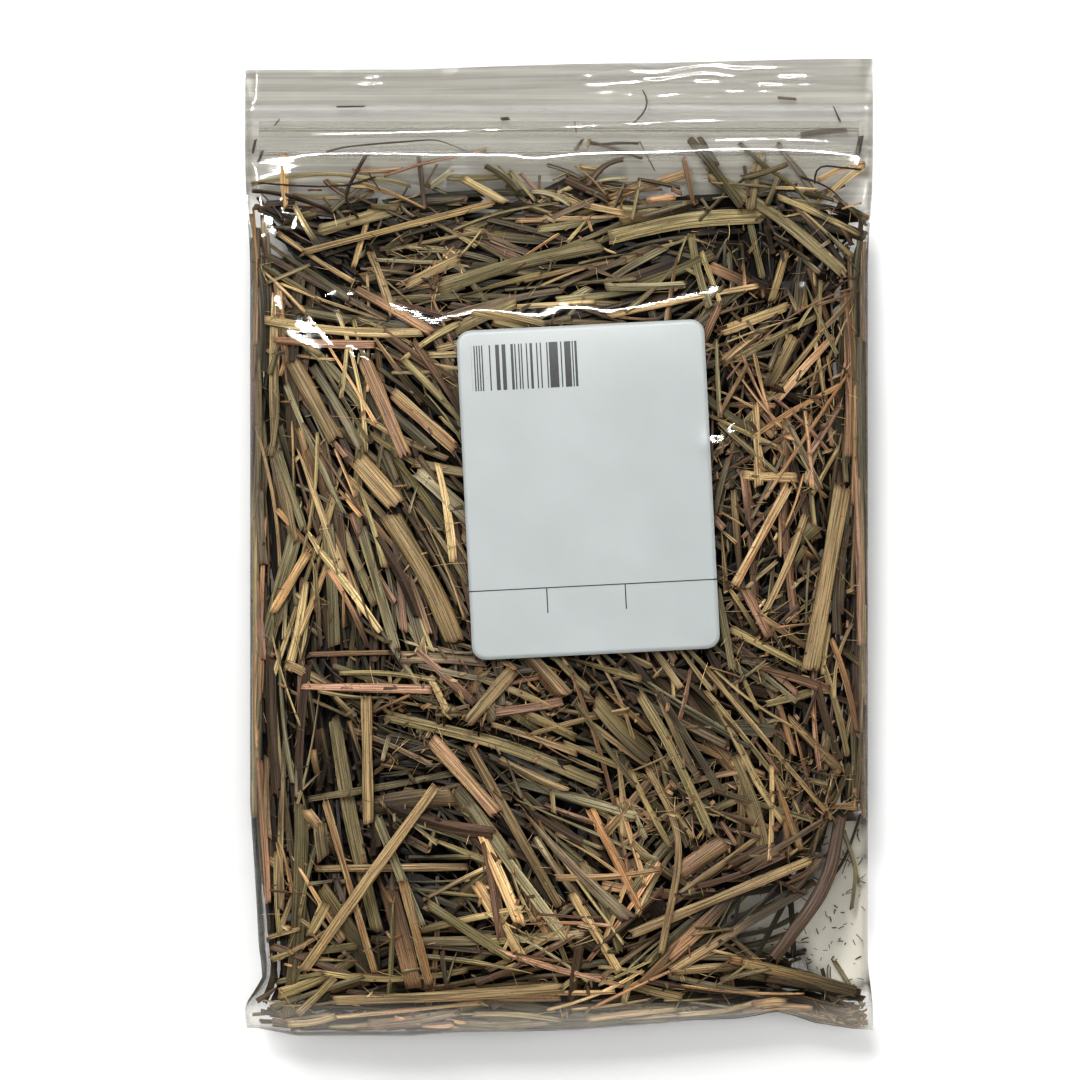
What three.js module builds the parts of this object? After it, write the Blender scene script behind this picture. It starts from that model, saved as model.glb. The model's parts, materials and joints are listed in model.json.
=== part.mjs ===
// A clear press-to-close bag packed with dried, cut lemongrass, lying on its back.
// Millimetres. X runs across the bag, Y from the bottom fold up to the mouth, and Z up from
// the surface it lies on. The origin is at the bottom centre of the whole part.
import * as THREE from "three";
import { mergeVertices } from "three/addons/utils/BufferGeometryUtils.js";

// ---- driving dimensions ----

const bag = {
  headerWidth: 145.5, // where the two film layers lie flat on each other
  filledWidth: 143, // drawn in a little where the bag is full
  foldY: -113, // the bottom fold
  mouthY: 111.6, // the open lips above the zip, at the middle of the bag
  mouthSkew: 1.4, // the right end of the lips stands this much higher than the middle
  thickness: 25, // at the middle of the filled part
  film: 0.12,
  seam: 0.3, // solid film at the side seams and the fold, measured inwards from the edge
};

// The side seam's height above the surface at stations along Y.
const seamStations = [
  { y: bag.foldY, z: 8 },
  { y: -80, z: 9.5 },
  { y: 50, z: 9.5 },
  { y: 87, z: 6.2 },
  { y: 101, z: 6.2 },
  { y: bag.mouthY, z: 4.6 },
];
const seamHeight = 9.5;

// How the two panels swell away from the seam.
const frontRise = bag.thickness - seamHeight;
const front = { side: 1, rise: frontRise, flat: 0.15, foldRun: 31, topStart: 48, topEnd: 90 };
const back = { side: -1, rise: seamHeight, flat: 0.42, foldRun: 24, topStart: 56, topEnd: 92 };

// Half the clear space between the two film layers, outside the filled part.
const gapStations = [
  { y: bag.foldY, z: 0 },
  { y: bag.foldY + 2, z: 0.3 },
  { y: 80, z: 0.5 },
  { y: 87, z: 1.45 },
  { y: 101, z: 1.45 },
  { y: 105, z: 0.4 },
  { y: bag.mouthY, z: 0.35 },
];

const zip = {
  tracks: [
    { name: "lower", y: 91 },
    { name: "upper", y: 96.6 },
  ],
  endGap: 3.2, // from the side edge to the end of each strip
  baseHalfWidth: 1.9,
  baseTop: 1.12, // outer face of a strip's base, measured from the zip's mid plane
  baseThickness: 0.25,
};

const label = { width: 57, height: 76, corner: 4.4, thickness: 0.14, x: 6.7, y: 13, turn: 2.9, lift: 0.16 };

const cuttings = { halfWidth: 61, bottomY: -100, topY: 62, belowFront: 8.6, aboveBack: 0.6, corner: 10 };

// The single pieces lie under the front panel in layers, each deeper than the one before.
const layers = { first: 0.9, spacing: 1.5, clearance: 0.8 };

const sections = {
  blade: { node: "leaf_blade", thickness: 0.3, crown: 0.35 }, // flat, with a shallow keel
  sheath: { node: "leaf_sheath", thickness: 0.35, crown: 0.8 }, // curled into a channel
  stem: { node: "cut_stem", thickness: 0.8, crown: 0.25 }, // layers rolled and pressed nearly flat
};

// Single cut pieces that stand out, each given by the points that its middle line passes.
const pieces = [
  { kind: "blade", colour: "olive", width: 2.8, along: [[-55.5, 73], [-36.5, 78.5]] },
  { kind: "stem", colour: "tan", width: 1.6, along: [[-59, 68], [-15, 79.5]] },
  { kind: "stem", colour: "straw", width: 1.4, along: [[-43.5, 78.5], [-47.5, 64.5]] },
  { kind: "stem", colour: "straw", width: 1.2, along: [[-65, 72.5], [-56.5, 66.5], [-47.5, 61]] },
  { kind: "blade", colour: "olive", width: 3.2, along: [[-27.5, 59.5], [-9, 65.5], [9.5, 69.5]] },
  { kind: "blade", colour: "olive", width: 3.5, along: [[12, 71.5], [30.5, 75.5], [47.5, 76.5]] },
  { kind: "blade", colour: "tan", width: 2.3, along: [[-36, 60], [-23, 66.5]] },
  { kind: "stem", colour: "rust", width: 1.8, along: [[11.5, 80.5], [30, 86.5]] },
  { kind: "stem", colour: "olive", width: 2.8, along: [[35, 86], [51, 76], [66, 63]] },
  { kind: "stem", colour: "greyGreen", width: 1.6, along: [[43.5, 78.5], [47, 62]] },
  { kind: "stem", colour: "tan", width: 1.8, along: [[52.5, 68], [49, 56.5]] },
  { kind: "blade", colour: "tan", width: 2.3, along: [[37.5, 49.5], [53, 55.5]] },
  { kind: "sheath", colour: "tan", width: 3.7, along: [[-61.5, 42.5], [-51.5, 24.5]] },
  { kind: "sheath", colour: "pink", width: 3.2, along: [[-45, 43], [-35.5, 21]] },
  { kind: "sheath", colour: "straw", width: 4.6, along: [[-46.5, 20], [-37.5, 9.5]] },
  { kind: "sheath", colour: "tan", width: 4.6, along: [[-39, 7], [-30, -8], [-24, -22]] },
  { kind: "blade", colour: "greyGreen", width: 2.3, along: [[-45.5, 3.5], [-37.5, -24]] },
  { kind: "stem", colour: "greyGreen", width: 1.8, along: [[-65, 22], [-59, 4]] },
  { kind: "stem", colour: "rust", width: 2.1, along: [[-58, -1.5], [-66, -15]] },
  { kind: "stem", colour: "pink", width: 1.2, along: [[-57.5, -25], [-39, -24.5]] },
  { kind: "blade", colour: "olive", width: 2.1, along: [[-50, 4], [-42.5, -13.5]] },
  { kind: "blade", colour: "rust", width: 2.8, along: [[-38.5, 35.5], [-24, 22.5]] },
  { kind: "stem", colour: "rust", width: 2.1, along: [[53, 14], [40.5, -9]] },
  { kind: "blade", colour: "greyGreen", width: 1.8, along: [[36.5, -10], [40, -28.5]] },
  { kind: "blade", colour: "olive", width: 1.8, along: [[39.5, -19], [57.5, -28.5]] },
  { kind: "stem", colour: "tan", width: 3.9, along: [[65.5, 13.5], [62, -6.5], [58, -28.5]] },
  { kind: "stem", colour: "straw", width: 2.5, along: [[-59, -98], [-47, -81], [-28.5, -55.5]] },
  { kind: "stem", colour: "rust", width: 1.6, along: [[-54, -59], [-42.5, -98.5]] },
  { kind: "stem", colour: "straw", width: 1.8, along: [[-56.5, -74.5], [-21, -74]] },
  { kind: "blade", colour: "olive", width: 3.2, along: [[-52, -39.5], [-48, -63.5], [-42, -89]] },
  { kind: "sheath", colour: "tan", width: 2.5, along: [[-44.5, -35], [-44, -64]] },
  { kind: "blade", colour: "olive", width: 1.6, along: [[-58, -58.5], [-40.5, -55.5], [-23, -52]] },
  { kind: "blade", colour: "greyGreen", width: 2.3, along: [[-42, -62.5], [-32, -87.5]] },
  { kind: "stem", colour: "rust", width: 2.1, along: [[-36, -77.5], [-30, -101]] },
  { kind: "stem", colour: "tan", width: 3, along: [[-11, -29], [-21, -40.5]] },
  { kind: "sheath", colour: "pink", width: 3.2, along: [[-29.5, -44.5], [-14.5, -61.5]] },
  { kind: "stem", colour: "tan", width: 2.3, along: [[-20.5, -46.5], [0, -83]] },
  { kind: "blade", colour: "olive", width: 2.8, along: [[-40.5, -39], [-11, -46.5], [9.5, -55]] },
  { kind: "stem", colour: "tan", width: 2.5, along: [[-52, -105], [-27.5, -104], [0.5, -102]] },
  { kind: "blade", colour: "olive", width: 2.3, along: [[18.5, -34], [25, -45], [35, -66.5]] },
  { kind: "blade", colour: "straw", width: 1.6, along: [[20.5, -51.5], [27.5, -67], [23.5, -94]] },
  { kind: "stem", colour: "straw", width: 1.2, along: [[34, -28.5], [63, -63]] },
  { kind: "stem", colour: "straw", width: 2.3, along: [[16.5, -89.5], [58, -72.5]] },
  { kind: "sheath", colour: "plum", width: 3.2, along: [[49.5, -95.5], [62, -77], [65, -62.5]] },
  { kind: "sheath", colour: "pink", width: 4.6, along: [[27.5, -75.5], [38, -68]] },
];

// ---- materials ----

const finish = (color, roughness, opacity = 1) =>
  new THREE.MeshStandardMaterial({ color, roughness, metalness: 0, opacity, transparent: opacity < 1 });

const clearFilm = finish("#e9ebea", 0.08, 0.25);
const zipPlastic = finish("#dfe2e1", 0.25, 0.5);
const labelPaper = finish("#d0d4d3", 0.6);
const darkCuttings = finish("#3a2f20", 0.95);
const plantColours = {
  olive: finish("#7c7448", 0.8),
  greyGreen: finish("#85836a", 0.8),
  straw: finish("#a8916a", 0.75),
  tan: finish("#96795a", 0.8),
  rust: finish("#9a7048", 0.8),
  pink: finish("#8e6a58", 0.8),
  plum: finish("#54403c", 0.7),
};

// ---- small helpers ----

const clamp01 = (t) => Math.min(1, Math.max(0, t));
const ease = (t) => clamp01(t) ** 2 * (3 - 2 * clamp01(t));

// The value at y of a list of stations, eased from each one to the next.
function between(stations, y) {
  const next = stations.findIndex((station) => station.y > y);
  if (next === -1) return stations.at(-1).z;
  if (next === 0) return stations[0].z;
  const [a, b] = [stations[next - 1], stations[next]];
  return a.z + (b.z - a.z) * ease((y - a.y) / (b.y - a.y));
}

// A closed solid through a row of rings with the same number of points. The first and the
// last ring are collapsed onto a line or a point, so no separate caps are needed.
function skin(rings) {
  const count = rings[0].length;
  const index = [];
  for (let r = 0; r < rings.length - 1; r++)
    for (let i = 0; i < count; i++) {
      const a = r * count + i;
      const b = r * count + ((i + 1) % count);
      index.push(a, b, b + count, a, b + count, a + count);
    }
  const loose = new THREE.BufferGeometry().setFromPoints(rings.flat()).setIndex(index);
  const welded = mergeVertices(loose, 1e-4);
  const corners = [...welded.index.array];
  const kept = [];
  for (let i = 0; i < corners.length; i += 3) {
    const [a, b, c] = corners.slice(i, i + 3);
    if (a !== b && b !== c && c !== a) kept.push(a, b, c);
  }
  const solid = welded.setIndex(volumeOf(welded, kept) < 0 ? kept.reverse() : kept);
  solid.computeVertexNormals();
  return solid;
}

function volumeOf(geometry, corners) {
  const at = (i) => new THREE.Vector3().fromBufferAttribute(geometry.attributes.position, i);
  let sum = 0;
  for (let i = 0; i < corners.length; i += 3)
    sum += at(corners[i]).dot(at(corners[i + 1]).cross(at(corners[i + 2])));
  return sum / 6;
}

function meshOf(name, geometry, material) {
  const mesh = new THREE.Mesh(geometry, material);
  mesh.name = name;
  return mesh;
}

// ---- the bag's shape ----

// Half the bag's width at y: full in the header and at the bottom corners, drawn in between.
function halfWidthAt(y) {
  const drawnIn = ease((y - bag.foldY) / 12) * ease((94 - y) / 26);
  return bag.headerWidth / 2 - (drawnIn * (bag.headerWidth - bag.filledWidth)) / 2;
}

// From 0 at a fully flat end to 1 in the filled part. The inset moves the fold inwards.
function fullnessAt(panel, y, inset) {
  const fromFold = clamp01((y - bag.foldY - inset) / panel.foldRun);
  const roundedFold = Math.sqrt(1 - (1 - fromFold) ** 2);
  return roundedFold * ease((panel.topEnd - y) / (panel.topEnd - panel.topStart));
}

// From 1 over a panel's middle to 0 at the side edge, on a quarter of an ellipse.
function acrossAt(panel, share) {
  const fromFlat = clamp01((Math.abs(share) - panel.flat) / (1 - panel.flat));
  return Math.sqrt(1 - fromFlat ** 2);
}

// A panel's height at x and y. The inner faces of the film are inset from the outer ones.
function panelHeight(panel, x, y, inset) {
  const share = Math.min(1, Math.abs(x) / (halfWidthAt(y) - inset));
  const swell = panel.rise * fullnessAt(panel, y, inset) * acrossAt(panel, share);
  const apart = between(gapStations, y - inset) * clamp01((1 - share) / 0.01);
  const height = between(seamStations, y) + panel.side * Math.max(apart, swell);
  return panel.side > 0 ? height : Math.max(height, bag.film);
}

const frontInside = (x, y) => panelHeight(front, x, y, bag.seam);
const backInside = (x, y) => panelHeight(back, x, y, bag.seam);
const frontOutside = (x, y) => panelHeight(front, x, y, 0) + bag.film;

// ---- the bag's film: one sheet folded at the bottom, joined at the sides, open at the mouth ----

const acrossSteps = 24;

// One ring of the film around the bag: over the front, then back under it.
function filmRing(y, inset) {
  const skew = bag.mouthSkew * ease((y - 101) / (bag.mouthY - 101));
  const point = (panel, step) => {
    const share = Math.sin((step / acrossSteps - 0.5) * Math.PI);
    const x = share * (halfWidthAt(y) - inset);
    const onEdge = step === 0 || step === acrossSteps;
    const outside = inset === 0 ? bag.film : 0;
    const z = onEdge ? between(seamStations, y) : panelHeight(panel, x, y, inset) + panel.side * outside;
    return new THREE.Vector3(x, y + skew * share, z);
  };
  const over = Array.from({ length: acrossSteps + 1 }, (_, step) => point(front, step));
  const under = Array.from({ length: acrossSteps - 1 }, (_, step) => point(back, acrossSteps - 1 - step));
  return [...over, ...under];
}

function bagFilm() {
  const fromFold = [0.4, 2, 5, 9, 14, 20, 27];
  const body = Array.from({ length: 11 }, (_, row) => -76 + row * 12);
  const shoulder = Array.from({ length: 9 }, (_, row) => 49 + row * 5);
  const top = [95, 101, 105, bag.mouthY];
  // The fold's ring is a ring with its front and back points brought together on one line.
  const foldRing = (inset) =>
    filmRing(bag.foldY + inset, inset).map((p) => p.setZ(between(seamStations, bag.foldY + inset)));
  const rings = (inset) => [
    foldRing(inset),
    ...fromFold.map((rise) => filmRing(bag.foldY + inset + rise, inset)),
    ...[...body, ...shoulder, ...top].map((y) => filmRing(y, inset)),
  ];
  return meshOf("bag_film", skin([...rings(0), ...rings(bag.seam).reverse()]), clearFilm);
}

// ---- the zip: a rib welded inside the front panel and a groove inside the back panel ----

// Half outlines from the base's outer corner to the middle, as [across, height].
const ribHalf = [
  [zip.baseHalfWidth, zip.baseTop],
  [zip.baseHalfWidth, zip.baseTop - zip.baseThickness],
  [0.25, zip.baseTop - zip.baseThickness],
  [0.25, -0.05],
  [0.5, -0.1],
  [0.18, -0.52],
];
const grooveHalf = [
  [zip.baseHalfWidth, -zip.baseTop],
  [zip.baseHalfWidth, -zip.baseTop + zip.baseThickness],
  [1.15, -zip.baseTop + zip.baseThickness],
  [1.05, 0.32],
  [0.42, 0.32],
  [0.42, 0.12],
  [0.72, 0.05],
  [0.72, -zip.baseTop + zip.baseThickness],
];

function zipStrip(name, halfOutline, track) {
  const mirrored = halfOutline.map(([across, height]) => [-across, height]).reverse();
  const outline = new THREE.Shape([...halfOutline, ...mirrored].map(([a, h]) => new THREE.Vector2(a, h)));
  const length = 2 * (halfWidthAt(track.y) - zip.endGap);
  const strip = new THREE.ExtrudeGeometry(outline, { depth: length, bevelEnabled: false });
  // Outline x becomes Y, outline y becomes Z, and the extrusion runs along X.
  strip.applyMatrix4(new THREE.Matrix4().makeBasis(
    new THREE.Vector3(0, 1, 0),
    new THREE.Vector3(0, 0, 1),
    new THREE.Vector3(1, 0, 0),
  ));
  const mesh = meshOf(name, strip, zipPlastic);
  mesh.position.set(-length / 2, track.y, between(seamStations, track.y));
  return mesh;
}

// ---- the label: a sheet with round corners, lying on the front panel ----

// The label's half width at a distance from its middle along its height.
function labelHalfWidth(fromMiddle) {
  const intoCorner = Math.max(0, Math.abs(fromMiddle) - (label.height / 2 - label.corner));
  return label.width / 2 - label.corner + Math.sqrt(Math.max(0, label.corner ** 2 - intoCorner ** 2));
}

function paperLabel() {
  const steps = 10;
  const turn = THREE.MathUtils.degToRad(label.turn);
  const straight = label.height / 2 - label.corner;
  const cornerRows = [0.35, 0.65, 0.87, 1].map((share) => straight + share * label.corner);
  const middleRows = Array.from({ length: 9 }, (_, row) => straight * (row / 4 - 1));
  const rows = [...cornerRows.map((y) => -y).reverse(), ...middleRows, ...cornerRows];
  const ring = (fromMiddle, thickness) => {
    const halfWidth = labelHalfWidth(fromMiddle);
    const point = (step, above) => {
      const across = halfWidth * ((2 * step) / steps - 1);
      const x = label.x + across * Math.cos(turn) - fromMiddle * Math.sin(turn);
      const y = label.y + across * Math.sin(turn) + fromMiddle * Math.cos(turn);
      return new THREE.Vector3(x, y, frontOutside(x, y) + label.lift + above);
    };
    const top = Array.from({ length: steps + 1 }, (_, step) => point(step, thickness));
    const bottom = Array.from({ length: steps + 1 }, (_, step) => point(steps - step, 0));
    return [...top, ...bottom];
  };
  const rings = rows.map((fromMiddle) => ring(fromMiddle, label.thickness));
  return meshOf("paper_label", skin([ring(rows[0], 0), ...rings, ring(rows.at(-1), 0)]), labelPaper);
}

// ---- the cuttings: the packed bulk, and the single pieces that lie over it ----

function packedCuttings() {
  const steps = 10;
  const { bottomY, topY, corner } = cuttings;
  const rows = [0, 0.3, 0.65, 1].map((share) => bottomY + share * corner);
  for (let y = bottomY + corner + 12; y < topY - corner; y += 12) rows.push(y);
  rows.push(...[1, 0.65, 0.3, 0].map((share) => topY - share * corner));
  const ring = (y, collapsed) => {
    const intoCorner = Math.max(0, bottomY + corner - y, y - (topY - corner));
    const halfWidth = cuttings.halfWidth - corner + Math.sqrt(Math.max(0, corner ** 2 - intoCorner ** 2));
    const point = (step, upper) => {
      const x = halfWidth * ((2 * step) / steps - 1);
      const low = backInside(x, y) + cuttings.aboveBack;
      const high = frontInside(x, y) - cuttings.belowFront;
      return new THREE.Vector3(x, y, collapsed ? (low + high) / 2 : upper ? high : low);
    };
    const top = Array.from({ length: steps + 1 }, (_, step) => point(step, true));
    const bottom = Array.from({ length: steps + 1 }, (_, step) => point(steps - step, false));
    return [...top, ...bottom];
  };
  const rings = rows.map((y) => ring(y, false));
  return meshOf("packed_cuttings", skin([ring(bottomY, true), ...rings, ring(topY, true)]), darkCuttings);
}

// The points of a piece's middle line in plan, a few millimetres apart.
function planLine(piece) {
  const route = new THREE.CatmullRomCurve3(piece.along.map(([x, y]) => new THREE.Vector3(x, y, 0)));
  return route.getSpacedPoints(Math.max(3, Math.round(route.getLength() / 6)));
}

function closerThan(lineA, lineB, distance) {
  const dense = (line) => new THREE.CatmullRomCurve3(line).getSpacedPoints(40);
  const pointsB = dense(lineB);
  return dense(lineA).some((a) => pointsB.some((b) => a.distanceTo(b) < distance));
}

// Lays each piece in the layer nearest the film where it keeps clear of those already there.
function layOut(list) {
  const laid = [];
  for (const piece of list) {
    const line = planLine(piece);
    const clashes = (other) =>
      closerThan(line, other.line, (piece.width + other.piece.width) / 2 + layers.clearance);
    let layer = 0;
    while (laid.some((other) => other.layer === layer && clashes(other))) layer += 1;
    laid.push({ piece, line, layer });
  }
  return laid;
}

// A keeled strip: three points over and three under, lofted along the piece's line.
function cutPiece({ piece, line, layer }) {
  const { thickness, crown } = sections[piece.kind];
  const depth = layers.first + layer * layers.spacing;
  const up = new THREE.Vector3(0, 0, 1);
  const surfacePoint = (x, y) => new THREE.Vector3(x, y, frontInside(x, y) - depth);
  const ringAt = (i) => {
    const ahead = line[Math.min(i + 1, line.length - 1)].clone().sub(line[Math.max(i - 1, 0)]);
    const side = new THREE.Vector3().crossVectors(up, ahead).normalize();
    const half = piece.width / 2;
    const onFilm = (across) => surfacePoint(line[i].x + side.x * across, line[i].y + side.y * across);
    const left = onFilm(half);
    const right = onFilm(-half);
    const middle = left.clone().add(right).multiplyScalar(0.5);
    const drop = (point, by) => point.clone().addScaledVector(up, -by);
    return [
      drop(left, crown),
      middle,
      drop(right, crown),
      drop(right, crown + thickness),
      drop(middle, thickness),
      drop(left, crown + thickness),
    ];
  };
  // Each cut end is a fan of triangles around the middle of the keel.
  const endCentre = ([, over, , , under]) => over.clone().lerp(under, 0.5);
  const closed = (ring) => ring.map(() => endCentre(ring));
  const rings = line.map((_, i) => ringAt(i));
  return skin([closed(rings[0]), ...rings, closed(rings.at(-1))]);
}

function singlePieces() {
  const numbers = {};
  return layOut(pieces).map((laid) => {
    const { kind, colour } = laid.piece;
    numbers[kind] = (numbers[kind] ?? 0) + 1;
    const name = `${sections[kind].node}_${String(numbers[kind]).padStart(2, "0")}`;
    return meshOf(name, cutPiece(laid), plantColours[colour]);
  });
}

// ---- the whole part ----

const part = new THREE.Group();
part.add(bagFilm(), paperLabel(), packedCuttings(), ...singlePieces());
for (const track of zip.tracks) {
  part.add(zipStrip(`${track.name}_zip_rib`, ribHalf, track));
  part.add(zipStrip(`${track.name}_zip_groove`, grooveHalf, track));
}

export default part;
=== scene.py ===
import json
import math
import bpy
import numpy as np
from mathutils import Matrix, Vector
from mathutils.bvhtree import BVHTree


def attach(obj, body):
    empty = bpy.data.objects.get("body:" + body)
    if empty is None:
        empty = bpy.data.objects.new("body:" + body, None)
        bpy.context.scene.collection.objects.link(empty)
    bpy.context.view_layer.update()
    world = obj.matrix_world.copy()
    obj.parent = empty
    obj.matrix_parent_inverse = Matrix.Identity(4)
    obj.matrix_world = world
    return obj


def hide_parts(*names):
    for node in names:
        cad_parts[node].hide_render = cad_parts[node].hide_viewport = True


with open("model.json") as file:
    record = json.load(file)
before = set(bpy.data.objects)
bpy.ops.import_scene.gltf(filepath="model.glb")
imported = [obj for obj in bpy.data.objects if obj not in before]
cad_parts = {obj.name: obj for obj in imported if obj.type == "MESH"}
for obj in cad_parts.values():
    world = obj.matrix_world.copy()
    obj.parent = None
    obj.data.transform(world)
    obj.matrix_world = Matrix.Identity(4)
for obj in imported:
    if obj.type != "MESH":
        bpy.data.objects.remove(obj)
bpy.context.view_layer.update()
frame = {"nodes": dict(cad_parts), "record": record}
scene = bpy.context.scene
mm = 0.001  # shapes are worked out in millimetres and written to the meshes in metres

# where the camera stands, and how wide a strip it sees at the height of the bag's front, in mm
overhead = {
    "x": -4.4,
    "y": 1.4,
    "height": 3000,
    "width": 249.6,
    "atHeight": 15,
    "sensor": 36,
    "clipEnd": 20,  # m
}


def addCamera():
    data = bpy.data.cameras.new("overheadCamera")
    data.sensor_width = overhead["sensor"]
    data.lens = overhead["sensor"] * (overhead["height"] - overhead["atHeight"]) / overhead["width"]
    data.clip_end = overhead["clipEnd"]
    camera = bpy.data.objects.new("overheadCamera", data)
    camera.location = [overhead[key] * mm for key in ("x", "y", "height")]
    scene.collection.objects.link(camera)
    scene.camera = camera


addCamera()
print("camera ready")


def fromHex(text, alpha=1.0):
    # a six digit sRGB colour as linear light
    parts = [int(text[i : i + 2], 16) / 255 for i in (0, 2, 4)]
    linear = [c / 12.92 if c <= 0.04045 else ((c + 0.055) / 1.055) ** 2.4 for c in parts]
    return (*linear, alpha)


def ease(t):
    t = np.clip(t, 0, 1)
    return t * t * (3 - 2 * t)


def blur(values, spread, axes=(0, 1)):
    # a Gaussian blur of an array, with its edges held
    reach = max(1, int(math.ceil(3 * spread)))
    offsets = np.arange(-reach, reach + 1)
    weights = np.exp(-0.5 * (offsets / spread) ** 2)
    weights /= weights.sum()
    for axis in axes:
        padding = [(0, 0)] * values.ndim
        padding[axis] = (reach, reach)
        padded = np.pad(values, padding, mode="edge")
        length = values.shape[axis]
        values = sum(
            weight * np.take(padded, np.arange(reach + offset, reach + offset + length), axis)
            for offset, weight in zip(offsets, weights)
        )
    return values


def grow(values, steps):
    # spreads the high places of an array by a number of cells
    for _ in range(steps):
        padded = np.pad(values, 1, mode="edge")
        beside = (padded[:-2, 1:-1], padded[2:, 1:-1], padded[1:-1, :-2], padded[1:-1, 2:])
        values = np.maximum.reduce([values, *beside])
    return values


def distances(line):
    # how far along a line of points each point is
    return np.concatenate([[0], np.cumsum(np.linalg.norm(np.diff(line, axis=0), axis=1))])


def smoothNoise(rng, shape, spread):
    field = blur(rng.normal(size=shape), spread, axes=tuple(range(len(shape))))
    return field / field.std()


def newMesh(name, points, faceSets, sharpAngle=None, **attributes):
    # points in millimetres; each face set is an array of faces with the same number of corners;
    # attributes are one number, vector or colour for each point
    mesh = bpy.data.meshes.new(name)
    mesh.vertices.add(len(points))
    mesh.vertices.foreach_set("co", (np.asarray(points) * mm).astype(np.float32).ravel())
    corners = np.concatenate([faces.ravel() for faces in faceSets]).astype(np.int32)
    sizes = np.concatenate([np.full(len(faces), faces.shape[1]) for faces in faceSets])
    starts = np.concatenate([[0], np.cumsum(sizes)[:-1]]).astype(np.int32)
    mesh.loops.add(len(corners))
    mesh.loops.foreach_set("vertex_index", corners)
    mesh.polygons.add(len(sizes))
    mesh.polygons.foreach_set("loop_start", starts)
    mesh.update(calc_edges=True)
    mesh.validate()
    mesh.shade_smooth()
    if sharpAngle is not None:
        mesh.set_sharp_from_angle(angle=math.radians(sharpAngle))
    kinds = {1: ("FLOAT", "value"), 3: ("FLOAT_VECTOR", "vector"), 4: ("FLOAT_COLOR", "color")}
    for key, values in attributes.items():
        values = np.asarray(values, np.float32).reshape(len(points), -1)
        kind, field = kinds[values.shape[1]]
        mesh.attributes.new(key, kind, "POINT").data.foreach_set(field, values.ravel())
    return mesh


def addPiece(name, mesh, material, slot, *nodes):
    piece = bpy.data.objects.new(name, mesh)
    mesh.materials.append(material)
    scene.collection.objects.link(piece)
    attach(piece, "root")
    if nodes:
        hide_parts(*nodes)
    return piece


def gridQuads(rows, columns, start=0, flip=False):
    corner = start + np.arange(rows - 1)[:, None] * columns + np.arange(columns - 1)[None, :]
    quads = np.stack([corner, corner + 1, corner + columns + 1, corner + columns], -1).reshape(-1, 4)
    return quads[:, ::-1] if flip else quads


def addNode(tree, kind, values=None, **settings):
    # a shader node with its settings, and its inputs set to numbers or linked to sockets
    node = tree.nodes.new("ShaderNode" + kind)
    for key, value in settings.items():
        setattr(node, key, value)
    for key, value in (values or {}).items():
        if isinstance(value, bpy.types.NodeSocket):
            tree.links.new(value, node.inputs[key])
        else:
            node.inputs[key].default_value = value
    return node


def calc(tree, operation, a, b=0.0, clamp=False):
    return addNode(tree, "Math", {0: a, 1: b}, operation=operation, use_clamp=clamp).outputs[0]


def times(tree, a, b):
    return calc(tree, "MULTIPLY", a, b)


def plus(tree, a, b):
    return calc(tree, "ADD", a, b)


def between(tree, value, low, high, toLow=0.0, toHigh=1.0, smooth=True):
    # eases a value between two limits
    node = addNode(
        tree,
        "MapRange",
        {"Value": value, "From Min": low, "From Max": high, "To Min": toLow, "To Max": toHigh},
        interpolation_type="SMOOTHSTEP" if smooth else "LINEAR",
    )
    return node.outputs["Result"]


def mixColour(tree, factor, a, b, blend="MIX"):
    node = addNode(tree, "Mix", {0: factor, 6: a, 7: b}, data_type="RGBA", blend_type=blend)
    return node.outputs[2]


def vectorOf(tree, x, y, z):
    return addNode(tree, "CombineXYZ", {0: x, 1: y, 2: z}).outputs[0]


def dim(tree, colour, factor):
    # a colour times a number
    return mixColour(tree, 1.0, colour, vectorOf(tree, factor, factor, factor), "MULTIPLY")


def noise(tree, vector, scale, detail=2.0, roughness=0.5, dimensions="3D"):
    values = {"Vector": vector, "Scale": scale, "Detail": detail, "Roughness": roughness}
    return addNode(tree, "TexNoise", values, noise_dimensions=dimensions).outputs["Fac"]


def flatNoise(tree, x, y, detail=0.0, roughness=0.5):
    return noise(tree, vectorOf(tree, x, y, 0.0), 1.0, detail, roughness, "2D")


def newGroup(name, inputs, outputs):
    # inputs and outputs are {name: socket kind}; gives the tree and its two ends' sockets
    group = bpy.data.node_groups.new(name, "ShaderNodeTree")
    for key, kind in inputs.items():
        group.interface.new_socket(key, in_out="INPUT", socket_type="NodeSocket" + kind)
    for key, kind in outputs.items():
        group.interface.new_socket(key, in_out="OUTPUT", socket_type="NodeSocket" + kind)
    return group, group.nodes.new("NodeGroupInput").outputs, group.nodes.new("NodeGroupOutput").inputs


def useGroup(tree, group, values):
    return addNode(tree, "Group", values, node_tree=group).outputs


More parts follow.
